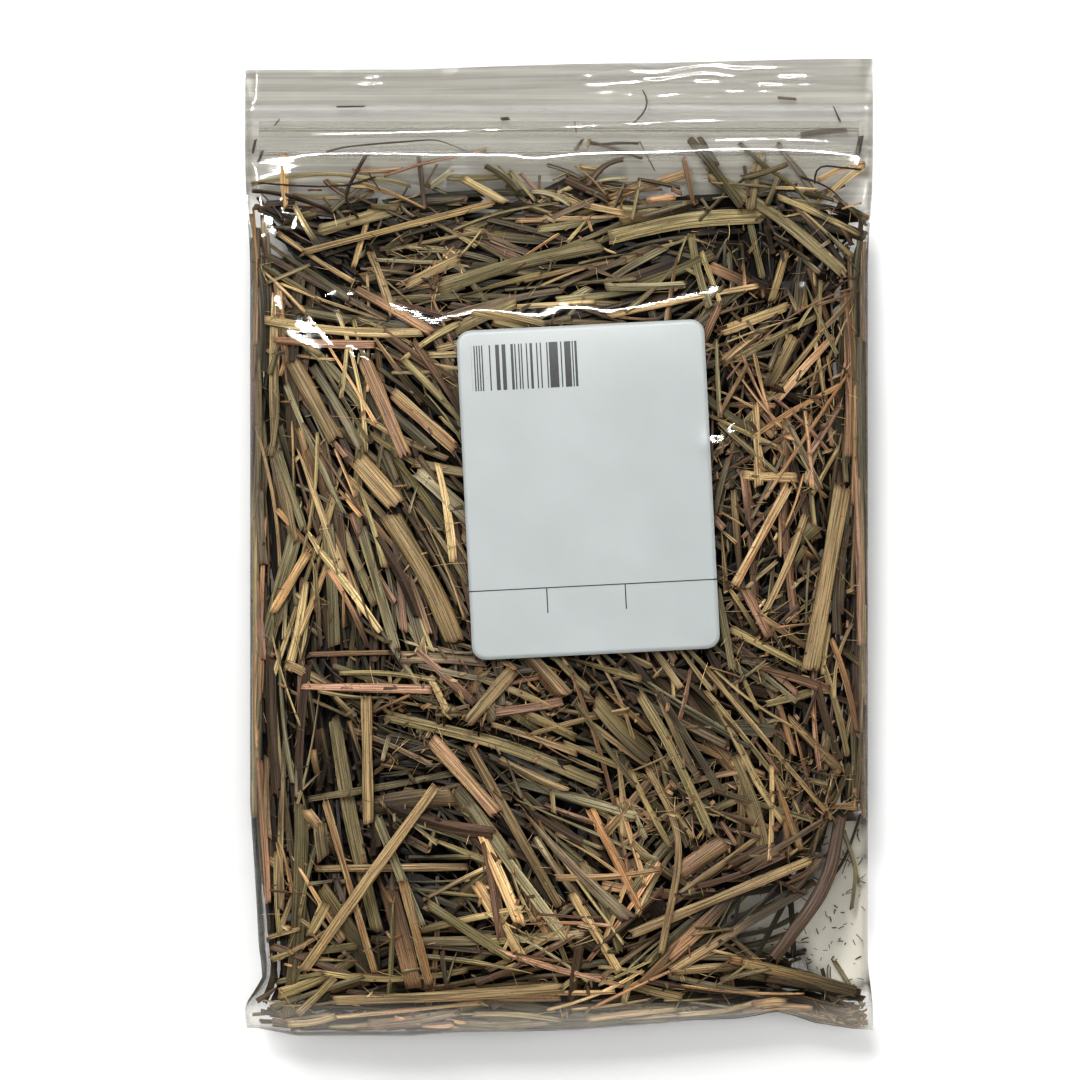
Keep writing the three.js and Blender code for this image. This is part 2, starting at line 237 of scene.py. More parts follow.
def leafGrainGroup():
    # lengthwise veins and stripes, soft blotches and dark specks of a dried leaf.
    # Grain is (mm along, mm across, anything), and starts at its own place for each strand
    group, given, out = newGroup(
        "leafGrain",
        {"Grain": "Vector", "Veins per mm": "Float", "Blotch size": "Float"},
        {"Veins": "Float", "Stripes": "Float", "Blotches": "Float", "Specks": "Float", "Height": "Float"},
    )
    along, across = addNode(group, "SeparateXYZ", {0: given["Grain"]}).outputs[:2]
    slowAlong = times(group, along, 0.04)
    veinAcross = times(group, across, given["Veins per mm"])
    coarse = flatNoise(group, slowAlong, veinAcross, 1.0, 0.6)
    fine = flatNoise(group, times(group, along, 0.15), times(group, veinAcross, 2.7))
    veins = plus(group, times(group, coarse, 0.64), times(group, fine, 0.36))
    stripes = flatNoise(group, plus(group, slowAlong, 51.0), times(group, veinAcross, 0.5))
    size = calc(group, "DIVIDE", 1.0, given["Blotch size"])
    wide = times(group, size, 2.0)
    blotchAcross = times(group, across, wide)
    blotches = flatNoise(group, times(group, along, size), blotchAcross, 2.0, 0.6)
    specks = flatNoise(group, times(group, along, 0.9), times(group, across, 2.1), 1.0, 0.7)
    group.links.new(between(group, veins, 0.33, 0.67), out["Veins"])
    group.links.new(between(group, stripes, 0.4, 0.6), out["Stripes"])
    group.links.new(between(group, blotches, 0.32, 0.68), out["Blotches"])
    group.links.new(between(group, specks, 0.68, 0.76), out["Specks"])
    group.links.new(veins, out["Height"])
    return group


def filmWearGroup():
    # fine lines left across the film by its extrusion, and small scuffs
    group, given, out = newGroup(
        "filmWear",
        {"Place": "Vector", "Lines per mm": "Float", "Scuff size": "Float"},
        {"Lines": "Float", "Scuffs": "Float", "Height": "Float"},
    )
    x, y = addNode(group, "SeparateXYZ", {0: given["Place"]}).outputs[:2]
    lineUp = times(group, y, given["Lines per mm"])
    lines = flatNoise(group, times(group, x, 0.02), lineUp, 1.0, 0.6)
    size = calc(group, "DIVIDE", 1.0, given["Scuff size"])
    scuffs = flatNoise(group, times(group, x, size), times(group, y, size), 2.0, 0.7)
    group.links.new(between(group, lines, 0.3, 0.7), out["Lines"])
    group.links.new(between(group, scuffs, 0.52, 0.75), out["Scuffs"])
    group.links.new(lines, out["Height"])
    return group


leafGrain = leafGrainGroup()
filmWear = filmWearGroup()


def newMaterial(name):
    material = bpy.data.materials.new(name)
    material.use_nodes = True
    tree = material.node_tree
    tree.nodes.clear()
    return material, tree, addNode(tree, "OutputMaterial").inputs["Surface"]


leafColours = {
    "umber": "5d4a36",
    "plum": "685041",
    "greyGreen": "8b8369",
    "olive": "887d58",
    "khaki": "9e8d66",
    "straw": "bca57c",
    "tan": "a88d68",
    "rust": "a9835d",
    "pink": "a1806a",
}
# the mixed palette: each strand's tone picks a place along it, from 0 to 1
paletteOrder = list(leafColours)

leafFinish = {
    "veinsPerMm": 3.1,
    "blotchSize": 8.0,
    "veins": (0.42, 1.25),  # what the grooves and the veins themselves make of the colour: partly the leaf's own striping, partly painted shade in the grooves and painted highlight on the veins
    "secondShift": 0.45,  # how far along the palette a strand's second colour may lie
    "stripeShare": 0.55,  # how much of the second colour the stripes and the blotches bring in
    "blotchShare": 0.4,
    "lightness": (0.03, 2.05),  # what a strand's lightness of 0, and of 1, makes of its colour
    "endBrown": "5f4028",
    "endReach": 1.3,  # mm
    "endShare": 0.5,
    "speckBrown": "2a1c11",
    "speckShare": 0.4,
    "roughness": (0.75, 0.5),  # in the grooves, and on the veins
    "specular": 0.3,
    "bump": 0.7,
    "bumpDistance": 0.00022,
}


def paletteRamp(tree, place):
    ramp = addNode(tree, "ValToRGB", {0: place})
    stops = ramp.color_ramp.elements
    for i, colour in enumerate(paletteOrder):
        stop = stops[i] if i < 2 else stops.new(i / (len(paletteOrder) - 1))
        stop.position = i / (len(paletteOrder) - 1)
        stop.color = fromHex(leafColours[colour])
    return ramp.outputs[0]


def dryLeafMaterial(name, mainColour=None, secondColour=None):
    # with no main colour, each strand's tone picks one from the mixed palette
    material, tree, surface = newMaterial(name)
    grain = addNode(tree, "Attribute", attribute_name="grain").outputs["Vector"]
    tone = addNode(tree, "Attribute", attribute_name="tone")
    pick, light, shift = addNode(tree, "SeparateColor", {0: tone.outputs["Color"]}).outputs[:3]
    fineness = {"Veins per mm": leafFinish["veinsPerMm"], "Blotch size": leafFinish["blotchSize"]}
    marks = useGroup(tree, leafGrain, {"Grain": grain, **fineness})
    if mainColour is None:
        base = paletteRamp(tree, pick)
        moved = times(tree, calc(tree, "SUBTRACT", shift, 0.5), leafFinish["secondShift"])
        other = paletteRamp(tree, calc(tree, "ADD", pick, moved, clamp=True))
    else:
        base = fromHex(leafColours[mainColour])
        other = fromHex(leafColours[secondColour])
    stripes = times(tree, marks["Stripes"], leafFinish["stripeShare"])
    blotches = times(tree, marks["Blotches"], leafFinish["blotchShare"])
    colour = mixColour(tree, plus(tree, stripes, blotches), base, other)
    # painted shade and highlight: the colour is darkened in the bump's grooves and lightened on its veins,
    # besides the leaf's own striping
    grooves = between(tree, marks["Veins"], 0.0, 1.0, *leafFinish["veins"], smooth=False)
    # a strand's lightness holds its own tone and the painted shade set in lookOf
    lightness = between(tree, light, 0.0, 1.0, *leafFinish["lightness"], smooth=False)
    colour = dim(tree, colour, times(tree, grooves, lightness))
    nearEnd = between(tree, tone.outputs["Alpha"], 0.0, leafFinish["endReach"], 1.0, 0.0)
    nearEnd = times(tree, nearEnd, leafFinish["endShare"])
    colour = mixColour(tree, nearEnd, colour, fromHex(leafFinish["endBrown"]))
    specks = times(tree, marks["Specks"], leafFinish["speckShare"])
    colour = mixColour(tree, specks, colour, fromHex(leafFinish["speckBrown"]))
    bump = addNode(
        tree,
        "Bump",
        {"Strength": leafFinish["bump"], "Distance": leafFinish["bumpDistance"], "Height": marks["Height"]},
    )
    looks = {
        "Base Color": colour,
        "Roughness": between(tree, marks["Veins"], 0.0, 1.0, *leafFinish["roughness"], smooth=False),
        "Specular IOR Level": leafFinish["specular"],
        "Normal": bump.outputs[0],
    }
    leaf = addNode(tree, "BsdfPrincipled", looks)
    tree.links.new(leaf.outputs[0], surface)
    return material


# haze is how much of the film is milky: where it is clear, and where its veil is full
filmFinish = {
    "front": {"clearHaze": 0.002, "veilHaze": 0.16, "grey": "aca9a2"},
    "back": {"clearHaze": 0.03, "veilHaze": 0.93, "grey": "939087"},
    "zip": {"clearHaze": 0.12, "veilHaze": 0.12, "grey": "9c988e"},
    "linesPerMm": 1.1,
    "lineDepth": 0.26,  # the lines fade where the veil goes above 1, where its grey is painted lighter
    "scuffSize": 9.0,
    "scuffHaze": 0.003,
    "paintedLight": 3.2,  # painted light: how much brighter the grey is painted where the veil reaches 2
    "bump": 0.12,
    "bumpDistance": 0.00015,
    "roughness": (0.06, 0.16),  # of clean film, and of scuffed film
    "milkyRoughness": 0.4,
    "index": 1.35,
    "clear": (0.985, 0.985, 0.98, 1),
    "shadowClear": (0.97, 0.97, 0.965, 1),
}


def filmMaterial(name, look):
    # clear film: it mirrors by angle, lets the rest through, and is hazy where the veil says so
    material, tree, surface = newMaterial(name)
    place = addNode(tree, "Attribute", attribute_name="sheet").outputs["Vector"]
    veil = addNode(tree, "Attribute", attribute_name="veil").outputs["Fac"]
    fineness = {"Lines per mm": filmFinish["linesPerMm"], "Scuff size": filmFinish["scuffSize"]}
    wear = useGroup(tree, filmWear, {"Place": place, **fineness})
    bump = addNode(
        tree,
        "Bump",
        {"Strength": filmFinish["bump"], "Distance": filmFinish["bumpDistance"], "Height": wear["Height"]},
    ).outputs[0]
    roughness = between(tree, wear["Scuffs"], 0.0, 1.0, *filmFinish["roughness"])
    shine = {"Base Color": (1, 1, 1, 1), "Metallic": 1.0, "Roughness": roughness, "Normal": bump}
    mirror = addNode(tree, "BsdfPrincipled", shine)
    clear = addNode(tree, "BsdfTransparent", {"Color": filmFinish["clear"]})
    byAngle = addNode(tree, "Fresnel", {"IOR": filmFinish["index"], "Normal": bump})
    glossy = addNode(tree, "MixShader", {0: byAngle.outputs[0], 1: clear.outputs[0], 2: mirror.outputs[0]})
    lineDepth = between(tree, veil, 1.0, 1.8, filmFinish["lineDepth"], 0.0)
    lineShade = plus(tree, times(tree, calc(tree, "SUBTRACT", wear["Lines"], 0.5), lineDepth), 1.0)
    # painted light: where the veil goes above 1, the milky grey is painted lighter
    paintedBrighter = between(tree, veil, 1.0, 2.0, 1.0, filmFinish["paintedLight"], smooth=False)
    milkyColour = dim(tree, fromHex(look["grey"]), times(tree, lineShade, paintedBrighter))
    haziness = {"Base Color": milkyColour, "Roughness": filmFinish["milkyRoughness"], "Normal": bump}
    milky = addNode(tree, "BsdfPrincipled", haziness)
    haze = between(tree, veil, 0.0, 1.0, look["clearHaze"], look["veilHaze"], smooth=False)
    haze = plus(tree, haze, times(tree, wear["Scuffs"], filmFinish["scuffHaze"]))
    film = addNode(tree, "MixShader", {0: haze, 1: glossy.outputs[0], 2: milky.outputs[0]})
    # shadows and bounced light pass straight through, which keeps the gloss and renders faster
    path = addNode(tree, "LightPath").outputs
    passing = calc(tree, "MAXIMUM", path["Is Shadow Ray"], path["Is Diffuse Ray"])
    unseen = addNode(tree, "BsdfTransparent", {"Color": filmFinish["shadowClear"]})
    whole = addNode(tree, "MixShader", {0: passing, 1: film.outputs[0], 2: unseen.outputs[0]})
    tree.links.new(whole.outputs[0], surface)
    return material


labelPrint = {
    "paper": "abb0af",
    "ink": "1f1f22",
    "barsFrom": (3.2, 61.9),
    "barsTo": (27.6, 72.4),
    "barsPerMm": 3.4,
    "barsLeftOut": 0.52,
    "ruleHeight": 15.9,
    "ruleHalf": 0.13,
    "dividers": (17.9, 36.0),
    "dividerLength": 5.8,
    "fibresPerMm": 2.2,
    "fibreShade": (0.975, 1.02),
    "cloudsPerMm": 0.06,
    "cloudShade": (0.96, 1.04),
    "thinInk": 0.75,  # what is left of the ink where it is worn
    "roughness": (0.42, 0.55),
    "bump": 0.12,
}


def labelMaterial():
    # satin label paper with a plain rule, two short dividers and a block of made-up bars
    material, tree, surface = newMaterial("labelPaper")
    page = addNode(tree, "Attribute", attribute_name="page").outputs["Vector"]
    x, y = addNode(tree, "SeparateXYZ", {0: page}).outputs[:2]

    def inside(value, low, high):
        above = calc(tree, "GREATER_THAN", value, low)
        return times(tree, above, calc(tree, "LESS_THAN", value, high))

    def block(left, right, low, high):
        return times(tree, inside(x, left, right), inside(y, low, high))

    barIndex = calc(tree, "FLOOR", times(tree, x, labelPrint["barsPerMm"]))
    barChance = addNode(tree, "TexWhiteNoise", {"W": barIndex}, noise_dimensions="1D").outputs["Value"]
    (left, low), (right, high) = labelPrint["barsFrom"], labelPrint["barsTo"]
    bars = calc(tree, "GREATER_THAN", barChance, labelPrint["barsLeftOut"])
    ink = times(tree, block(left, right, low, high), bars)
    rule, half = labelPrint["ruleHeight"], labelPrint["ruleHalf"]
    ink = calc(tree, "MAXIMUM", ink, inside(y, rule - half, rule + half))
    for place in labelPrint["dividers"]:
        line = block(place - half, place + half, rule - labelPrint["dividerLength"], rule)
        ink = calc(tree, "MAXIMUM", ink, line)
    fibres = noise(tree, page, labelPrint["fibresPerMm"], 4.0, 0.7)
    clouds = noise(tree, page, labelPrint["cloudsPerMm"], 2.0, 0.5)
    fibreShade = between(tree, fibres, 0.2, 0.8, *labelPrint["fibreShade"])
    cloudShade = between(tree, clouds, 0.2, 0.8, *labelPrint["cloudShade"])
    paper = dim(tree, fromHex(labelPrint["paper"]), times(tree, fibreShade, cloudShade))
    worn = between(tree, noise(tree, page, 5.0, 3.0, 0.7), 0.3, 0.42, labelPrint["thinInk"], 1.0)
    colour = mixColour(tree, times(tree, ink, worn), paper, fromHex(labelPrint["ink"]))
    roughness = between(tree, fibres, 0.2, 0.8, *labelPrint["roughness"])
    relief = {"Strength": labelPrint["bump"], "Distance": 0.0001, "Height": fibres}
    bump = addNode(tree, "Bump", relief).outputs[0]
    sheet = addNode(tree, "BsdfPrincipled", {"Base Color": colour, "Roughness": roughness, "Normal": bump})
    tree.links.new(sheet.outputs[0], surface)
    return material


# the deep tangle's near-black colours are painted shade
coreFinish = {
    "dark": "070504",
    "thread": "1f160e",
    "threadScale": (900, 140, 300),
    "crossingScale": (150, 800, 300),
    "crossingTurn": 1.1,
    "roughness": 0.9,
    "bump": 0.8,
    "bumpDistance": 0.0008,
}


def coreMaterial():
    # the tangle deep in the bag, painted near black as painted shade where little light reaches
    material, tree, surface = newMaterial("deepTangle")
    place = addNode(tree, "TexCoord").outputs["Object"]
    threads = 0.0
    for scale, turn in (("threadScale", 0), ("crossingScale", coreFinish["crossingTurn"])):
        laying = {"Vector": place, "Rotation": (0, 0, turn), "Scale": coreFinish[scale]}
        stretched = addNode(tree, "Mapping", laying).outputs[0]
        threads = calc(tree, "MAXIMUM", noise(tree, stretched, 1.0, 3.0, 0.6), threads)
    dark, thread = fromHex(coreFinish["dark"]), fromHex(coreFinish["thread"])
    colour = mixColour(tree, between(tree, threads, 0.5, 0.75), dark, thread)
    relief = {"Strength": coreFinish["bump"], "Distance": coreFinish["bumpDistance"], "Height": threads}
    bump = addNode(tree, "Bump", relief).outputs[0]
    looks = {"Base Color": colour, "Roughness": coreFinish["roughness"], "Normal": bump}
    tangle = addNode(tree, "BsdfPrincipled", looks)
    tree.links.new(tangle.outputs[0], surface)
    return material


floorFinish = {"dull": "fbfbfa", "bright": "fefefd", "mottle": 14.0, "roughness": 0.8, "specular": 0.1}


def floorMaterial():
    material, tree, surface = newMaterial("paleFloor")
    place = addNode(tree, "TexCoord").outputs["Object"]
    mottled = noise(tree, place, floorFinish["mottle"], 4.0, 0.6)
    colour = mixColour(tree, mottled, fromHex(floorFinish["dull"]), fromHex(floorFinish["bright"]))
    gloss = {"Roughness": floorFinish["roughness"], "Specular IOR Level": floorFinish["specular"]}
    looks = {"Base Color": colour, **gloss}
    floor = addNode(tree, "BsdfPrincipled", looks)
    tree.links.new(floor.outputs[0], surface)
    return material


mixedLeaf = dryLeafMaterial("mixedDryLeaf")
slotLeaf = {
    "olive": dryLeafMaterial("oliveLeaf", "olive", "khaki"),
    "grey_green": dryLeafMaterial("greyGreenLeaf", "greyGreen", "olive"),
    "straw": dryLeafMaterial("strawLeaf", "straw", "tan"),
    "tan": dryLeafMaterial("tanLeaf", "tan", "khaki"),
    "rust": dryLeafMaterial("rustLeaf", "rust", "straw"),
    "pink": dryLeafMaterial("pinkSheath", "pink", "tan"),
    "plum": dryLeafMaterial("plumSheath", "plum", "umber"),
}
frontFilmMaterial = filmMaterial("frontFilm", filmFinish["front"])
backFilmMaterial = filmMaterial("backFilm", filmFinish["back"])
zipMaterial = filmMaterial("zipPlastic", filmFinish["zip"])
print("materials ready")


def nodePoints(name):
    data = frame["nodes"][name].data
    points = np.empty(len(data.vertices) * 3, np.float32)
    data.vertices.foreach_get("co", points)
    return points.reshape(-1, 3).astype(float) / mm


filmPoints = nodePoints("bag_film")
filmPolygons = [tuple(p.vertices) for p in frame["nodes"]["bag_film"].data.polygons]
filmTree = BVHTree.FromPolygons([Vector(p) for p in filmPoints], filmPolygons)
bagLow, bagHigh = filmPoints.min(0), filmPoints.max(0)

grid = {"step": 0.5, "left": -77.0, "bottom": -117.0, "columns": 309, "rows": 469}
gridX = grid["left"] + grid["step"] * np.arange(grid["columns"])
gridY = grid["bottom"] + grid["step"] * np.arange(grid["rows"])
everyX, everyY = np.meshgrid(gridX, gridY)

# how the soft bag strays from the solid one in the frame. Each is places along x or y, then values there
strayed = {
    # the roll of the front panel towards the zip: how much higher up it lies
    "rollX": [-72, -66, -62, -58, -54, -45, -37, -29, 0, 21, 30, 38, 48, 60, 72],
    "rollUp": [9, 4, 2, 4, 6.5, 4.5, 2, -1, 0, 0.5, 4, 8, 7.5, 9, 8],
    # the bottom fold
    "foldX": [-70, -61, -33, -24, -15, 4, 22, 31, 41, 46, 50, 54, 59, 68, 72],
    "foldY": [
        -111.6, -113.4, -113.4, -112.6, -112.6, -112.1, -110.7, -109.8,
        -109.5, -108.7, -107.8, -108.6, -110.4, -111.8, -112,
    ],
    # the mouth
    "mouthX": [-72, -33, -15, 4, 22, 40, 55, 72],
    "mouthY": [110.4, 110.5, 111.2, 111.8, 112, 112.4, 112.8, 113],
    # the sharp fold line under the zip
    "lineX": [-71, -25, -11, -7.6, -4.4, -1.4, 4, 14, 33, 47, 63, 71],
    "lineY": [90.9, 91, 90.8, 90.1, 90, 90.4, 91, 91.3, 91.5, 91.7, 91.4, 90.9],
    # how far the left side is drawn in near the bottom
    "pinchY": [-113, -111, -107, -104, -100, -93, -80, -69, -60],
    "pinchIn": [0.5, 0, 0.1, 1.6, 3.2, 2.0, 1.3, 0.6, 0],
}
mouthRow, lineRow = 111.6, 90.9
seamHeight = 8.5


def shapedY(x, y):
    # from a plain row of the bag to where that row lies
    fold = np.interp(x, strayed["foldX"], strayed["foldY"]) - bagLow[1]
    mouth = np.interp(x, strayed["mouthX"], strayed["mouthY"]) - mouthRow
    line = np.interp(x, strayed["lineX"], strayed["lineY"]) - lineRow
    moved = y + fold * ease((-96 - y) / 17) + mouth * ease((y - 101) / 10)
    return moved + line * np.exp(-(((y - lineRow) / 2.5) ** 2))


def plainY(x, y):
    guess = y
    for _ in range(3):
        guess = guess - (shapedY(x, guess) - y)
    return guess


def rollWarp(x, y):
    # the place whose height the front panel has at x, y once its roll is shifted
    shift = np.interp(x, strayed["rollX"], strayed["rollUp"])
    return y - shift * ease((y - 20) / 30) * ease((88 - y) / 22)


def solidHalfWidths(side):
    rows = np.arange(bagLow[1], bagHigh[1] + 1, 1.0)
    widths = []
    for y in rows:
        near = filmPoints[np.abs(filmPoints[:, 1] - y) < 7]
        widths.append((near[:, 0] * side).max())
    return rows, blur(np.array(widths), 3.0, axes=(0,))


solidOutline = {side: solidHalfWidths(side) for side in (-1, 1)}


def halfWidth(y, side):
    solid = np.interp(y, *solidOutline[side])
    return solid - np.interp(y, strayed["pinchY"], strayed["pinchIn"]) if side < 0 else solid


def plainX(x, y):
    left = np.interp(y, *solidOutline[-1]) / halfWidth(y, -1)
    return np.where(np.asarray(x) < 0, x * left, x)


def castHeights(xs, ys, fromTop):
    # the film's outer face above or below each point, or nan beside the bag
    heights = np.full(len(xs), np.nan)
    start, aim = (60.0, Vector((0, 0, -1))) if fromTop else (-20.0, Vector((0, 0, 1)))
    for i, (x, y) in enumerate(zip(xs, ys)):
        hit = filmTree.ray_cast(Vector((x, y, start)), aim)[0]
        if hit is not None:
            heights[i] = hit.z
    return heights


def solidGrid(fromTop):
    coarseX, coarseY = everyX[::2, ::2], everyY[::2, ::2]
    heights = castHeights(coarseX.ravel(), coarseY.ravel(), fromTop).reshape(coarseX.shape)
    for row in heights:
        known = ~np.isnan(row)
        row[:] = np.interp(coarseX[0], coarseX[0][known], row[known]) if known.any() else seamHeight
    rows, columns = np.arange(grid["rows"]) / 2, np.arange(grid["columns"]) / 2
    return sampled(heights, rows[:, None], columns[None, :])


def sampled(field, row, column):
    # a grid's values between its cells, by straight lines
    row = np.clip(row, 0, field.shape[0] - 1.001)
    column = np.clip(column, 0, field.shape[1] - 1.001)
    r, c = row.astype(int), column.astype(int)
    v, u = row - r, column - c
    low = field[r, c] * (1 - u) + field[r, c + 1] * u
    high = field[r + 1, c] * (1 - u) + field[r + 1, c + 1] * u
    return low * (1 - v) + high * v


def at(field, x, y):
    row = (np.asarray(y) - grid["bottom"]) / grid["step"]
    column = (np.asarray(x) - grid["left"]) / grid["step"]
    return sampled(field, row, column)


# heights of the two panels above the sharp line under the zip, and how the front one slopes down to it
headShape = {
    "y": [91, 99, 106, 112],
    "front": [7.75, 7.65, 7.25, 6.75],
    "back": [4.9, 5.0, 5.5, 6.2],
    "from": 72.0,
    "sharpness": 0.5,
    "cornerLift": 5.0,  # how much higher the front panel is near both sides, from this far out
    "cornerFrom": 58,
}


def headFace(y, z, crest, fromTop):
    # crest is the panel's height where the slope starts
    base = np.interp(y, headShape["y"], headShape["front" if fromTop else "back"])
    slope = (crest - base) / (lineRow - headShape["from"])
    soft = headShape["sharpness"]
    fall = soft * np.logaddexp(0, (lineRow - y) / soft)
    return z + (base + slope * fall - z) * ease((y - headShape["from"] + 3) / 6)


def faceGrid(fromTop):
    solid = blur(solidGrid(fromTop), 1.0)
    crest = at(solid, everyX, np.full_like(everyX, headShape["from"]))
    if fromTop:
        outward = np.abs(everyX)
        corners = ease((outward - headShape["cornerFrom"]) / 5) * ease((72.5 - outward) / 3)
        crest = crest + headShape["cornerLift"] * corners
    solid = headFace(everyY, solid, crest, fromTop)
    fromY = plainY(everyX, everyY)
    if fromTop:
        fromY = rollWarp(everyX, fromY)
    return at(solid, plainX(everyX, everyY), fromY)


frontFace = faceGrid(True)
backFace = faceGrid(False)
print("frame read: bag", np.round(bagHigh - bagLow, 1))

# for each kind of strand, how thick its sheet is in mm, and how high it stands in parts of its width
sections = {
    "blade": {"thick": 0.24, "high": 0.08},
    "fold": {"thick": 0.2, "high": 0.3},
    "curl": {"thick": 0.24, "high": 0.34, "bend": 1.15},
    "stem": {"high": 0.13, "deep": 0.1, "groove": 0.07, "grooveWidth": 0.22},
    "flake": {"thick": 0.15, "high": 0.08},
}


def sectionOf(kind, width, points, under, ribs):
    # places across from -1 to 1 and heights in mm, along the top and back along the underside
    t = np.concatenate([np.linspace(-1, 1, points), np.linspace(1, -1, under)])
    below = np.arange(len(t)) >= points
    section = sections[kind]
    if kind == "stem":
        across = np.sin(t * math.pi / 2)
        dome = np.sqrt(np.clip(1 - across**2, 0, 1))
        groove = section["groove"] * width * np.exp(-((across / section["grooveWidth"]) ** 2))
        upper = (section["high"] * width + 0.2) * dome - groove + 0.04
        height = np.where(below, -section["deep"] * width * dome - 0.04, upper)
    else:
        across, rise = t, 1 - np.abs(t)
        if kind == "curl":
            bend = section["bend"]
            across, rise = np.sin(t * bend) / math.sin(bend), np.cos(t * bend) - math.cos(bend)
        height = section["high"] * width * rise - below * min(section["thick"], 0.35 * width + 0.05)
    if ribs:
        rib = np.where(np.arange(len(t)) % 2, ribs, -ribs) * (np.abs(t) < 0.99)
        height = height + np.where(below, 0, rib)
    return across, height


# how uneven every strand is, in radians, in parts of its width, or in mm
strandHabits = {
    "roll": 0.24,
    "twist": 0.4,
    "waves": 0.08,
    "taperBend": 1.6,
    "skewed": 0.15,
    "torn": 0.14,
    "tornWidth": 2.5,
}


def strandShape(rng, line, width, kind, look, up=1.0, points=5, under=2, taper=0.0, roll=None, ribs=0.0):
    # sweeps a cross-section along a line of points; gives points, faces and the two attributes.
    # the look is one for all, or one for each point of the line
    across, height = sectionOf(kind, width, points, under, ribs)
    count, ring = len(line), points + under
    ahead = np.gradient(line, axis=0)
    ahead /= np.linalg.norm(ahead, axis=1)[:, None]
    side = np.cross((0, 0, up), ahead)
    side /= np.linalg.norm(side, axis=1)[:, None]
    over = np.cross(ahead, side)
    if roll is None:
        roll = rng.normal(0, strandHabits["roll"])
        roll = roll + np.linspace(-0.5, 0.5, count) * rng.normal(0, strandHabits["twist"])
    turn = np.broadcast_to(roll, count)[:, None]
    side, over = side * np.cos(turn) + over * np.sin(turn), over * np.cos(turn) - side * np.sin(turn)
    along = distances(line)
    share = along / along[-1]
    waves = np.sin(share * rng.uniform(4, 11) + rng.uniform(0, 6))
    widths = 0.5 * width * (1 + strandHabits["waves"] * waves)
    if taper:
        widths = widths * (1 - taper * share ** strandHabits["taperBend"])
    shape = line[:, None, :] + side[:, None, :] * (widths[:, None] * across)[:, :, None]
    shape = shape + over[:, None, :] * height[None, :, None]
    # cut ends: skewed, and a little ragged
    for end, outward in ((0, -1), (-1, 1)):
        ragged = rng.normal(0, strandHabits["torn"], ring) * min(width, strandHabits["tornWidth"])
        reach = rng.normal(0, strandHabits["skewed"]) * width * across + ragged
        shape[end] += ahead[end] * (outward * reach)[:, None]
    corner = np.arange(count - 1)[:, None] * ring
    now = np.arange(ring)
    after = (now + 1) % ring
    sides = np.stack([corner + ring + now, corner + ring + after, corner + after, corner + now], -1)
    caps = np.stack([now, now[::-1] + (count - 1) * ring])
    # each strand's grain starts at its own place
    acrossMm = (widths[:, None] * across).ravel() + rng.uniform(0, 400)
    grain = np.stack([np.repeat(along, ring) + rng.uniform(0, 4000), acrossMm, acrossMm * 0], -1)
    fromEnd = np.minimum(along, along[-1] - along)
    tone = np.column_stack([np.broadcast_to(look, (count, 3)), fromEnd]).repeat(ring, axis=0)
    return shape.reshape(-1, 3), (sides.reshape(-1, 4), caps), grain, tone


# room kept between the strands and the film, in mm; the front film gives a little
filmRoom = {"fold": 0.45, "side": 0.3, "back": 0.12, "frontGives": 0.3, "least": 0.2}


def keepInside(points):
    # presses points that would poke through the film back into the bag
    x, y, z = points.T.copy()
    low = np.interp(x, strayed["foldX"], strayed["foldY"]) + filmRoom["fold"]
    y = np.maximum(y, low)
    x = np.clip(x, filmRoom["side"] - halfWidth(y, -1), halfWidth(y, 1) - filmRoom["side"])
    bottom, top = at(backFace, x, y) + filmRoom["back"], at(frontFace, x, y) + filmRoom["frontGives"]
    return np.stack([x, y, np.clip(z, bottom, np.maximum(top, bottom + filmRoom["least"]))], -1)


class Heap:
    # gathers strands until they become one mesh
    def __init__(self):
        self.parts = []
        self.faces = {}
        self.count = 0
        self.triangles = 0

    def add(self, part):
        points, faceSets, grain, tone = part
        for faces in faceSets:
            self.faces.setdefault(faces.shape[1], []).append(faces + self.count)
            self.triangles += len(faces) * (faces.shape[1] - 2)
        self.parts.append((points, grain, tone))
        self.count += len(points)

    def mesh(self, name):
        points, grain, tone = (np.concatenate(column) for column in zip(*self.parts))
        faceSets = [np.concatenate(sets) for sets in self.faces.values()]
        return newMesh(name, keepInside(points), faceSets, 45, grain=grain, tone=tone)


def refine(line, every):
    # evenly spaced points on a smoothed curve through a line's points
    along = distances(line)
    fine = np.linspace(0, along[-1], max(4, int(along[-1] / every) + 1))
    smooth = np.stack([np.interp(fine, along, line[:, k]) for k in range(3)], 1)
    for _ in range(2):
        smooth[1:-1] = 0.25 * smooth[:-2] + 0.5 * smooth[1:-1] + 0.25 * smooth[2:]
    return smooth


heroFinish = {
    "every": 1.7,
    "points": 9,
    "under": 3,
    "ribs": 0.035,
    "ringGap": 0.9,  # the strips in the frame are lofted from rings of points at least this far apart
    "lightness": (0.5, 0.08),
    "sunk": 0.08,  # in parts of its width, for all but the stems
    "roll": 0.12,
    "frays": 5,
    "fraySizes": ((0.6, 2.2), (0.12, 0.3)),  # lengths and widths
}
heroKinds = {"leaf_blade": "blade", "leaf_sheath": "curl", "cut_stem": "stem"}


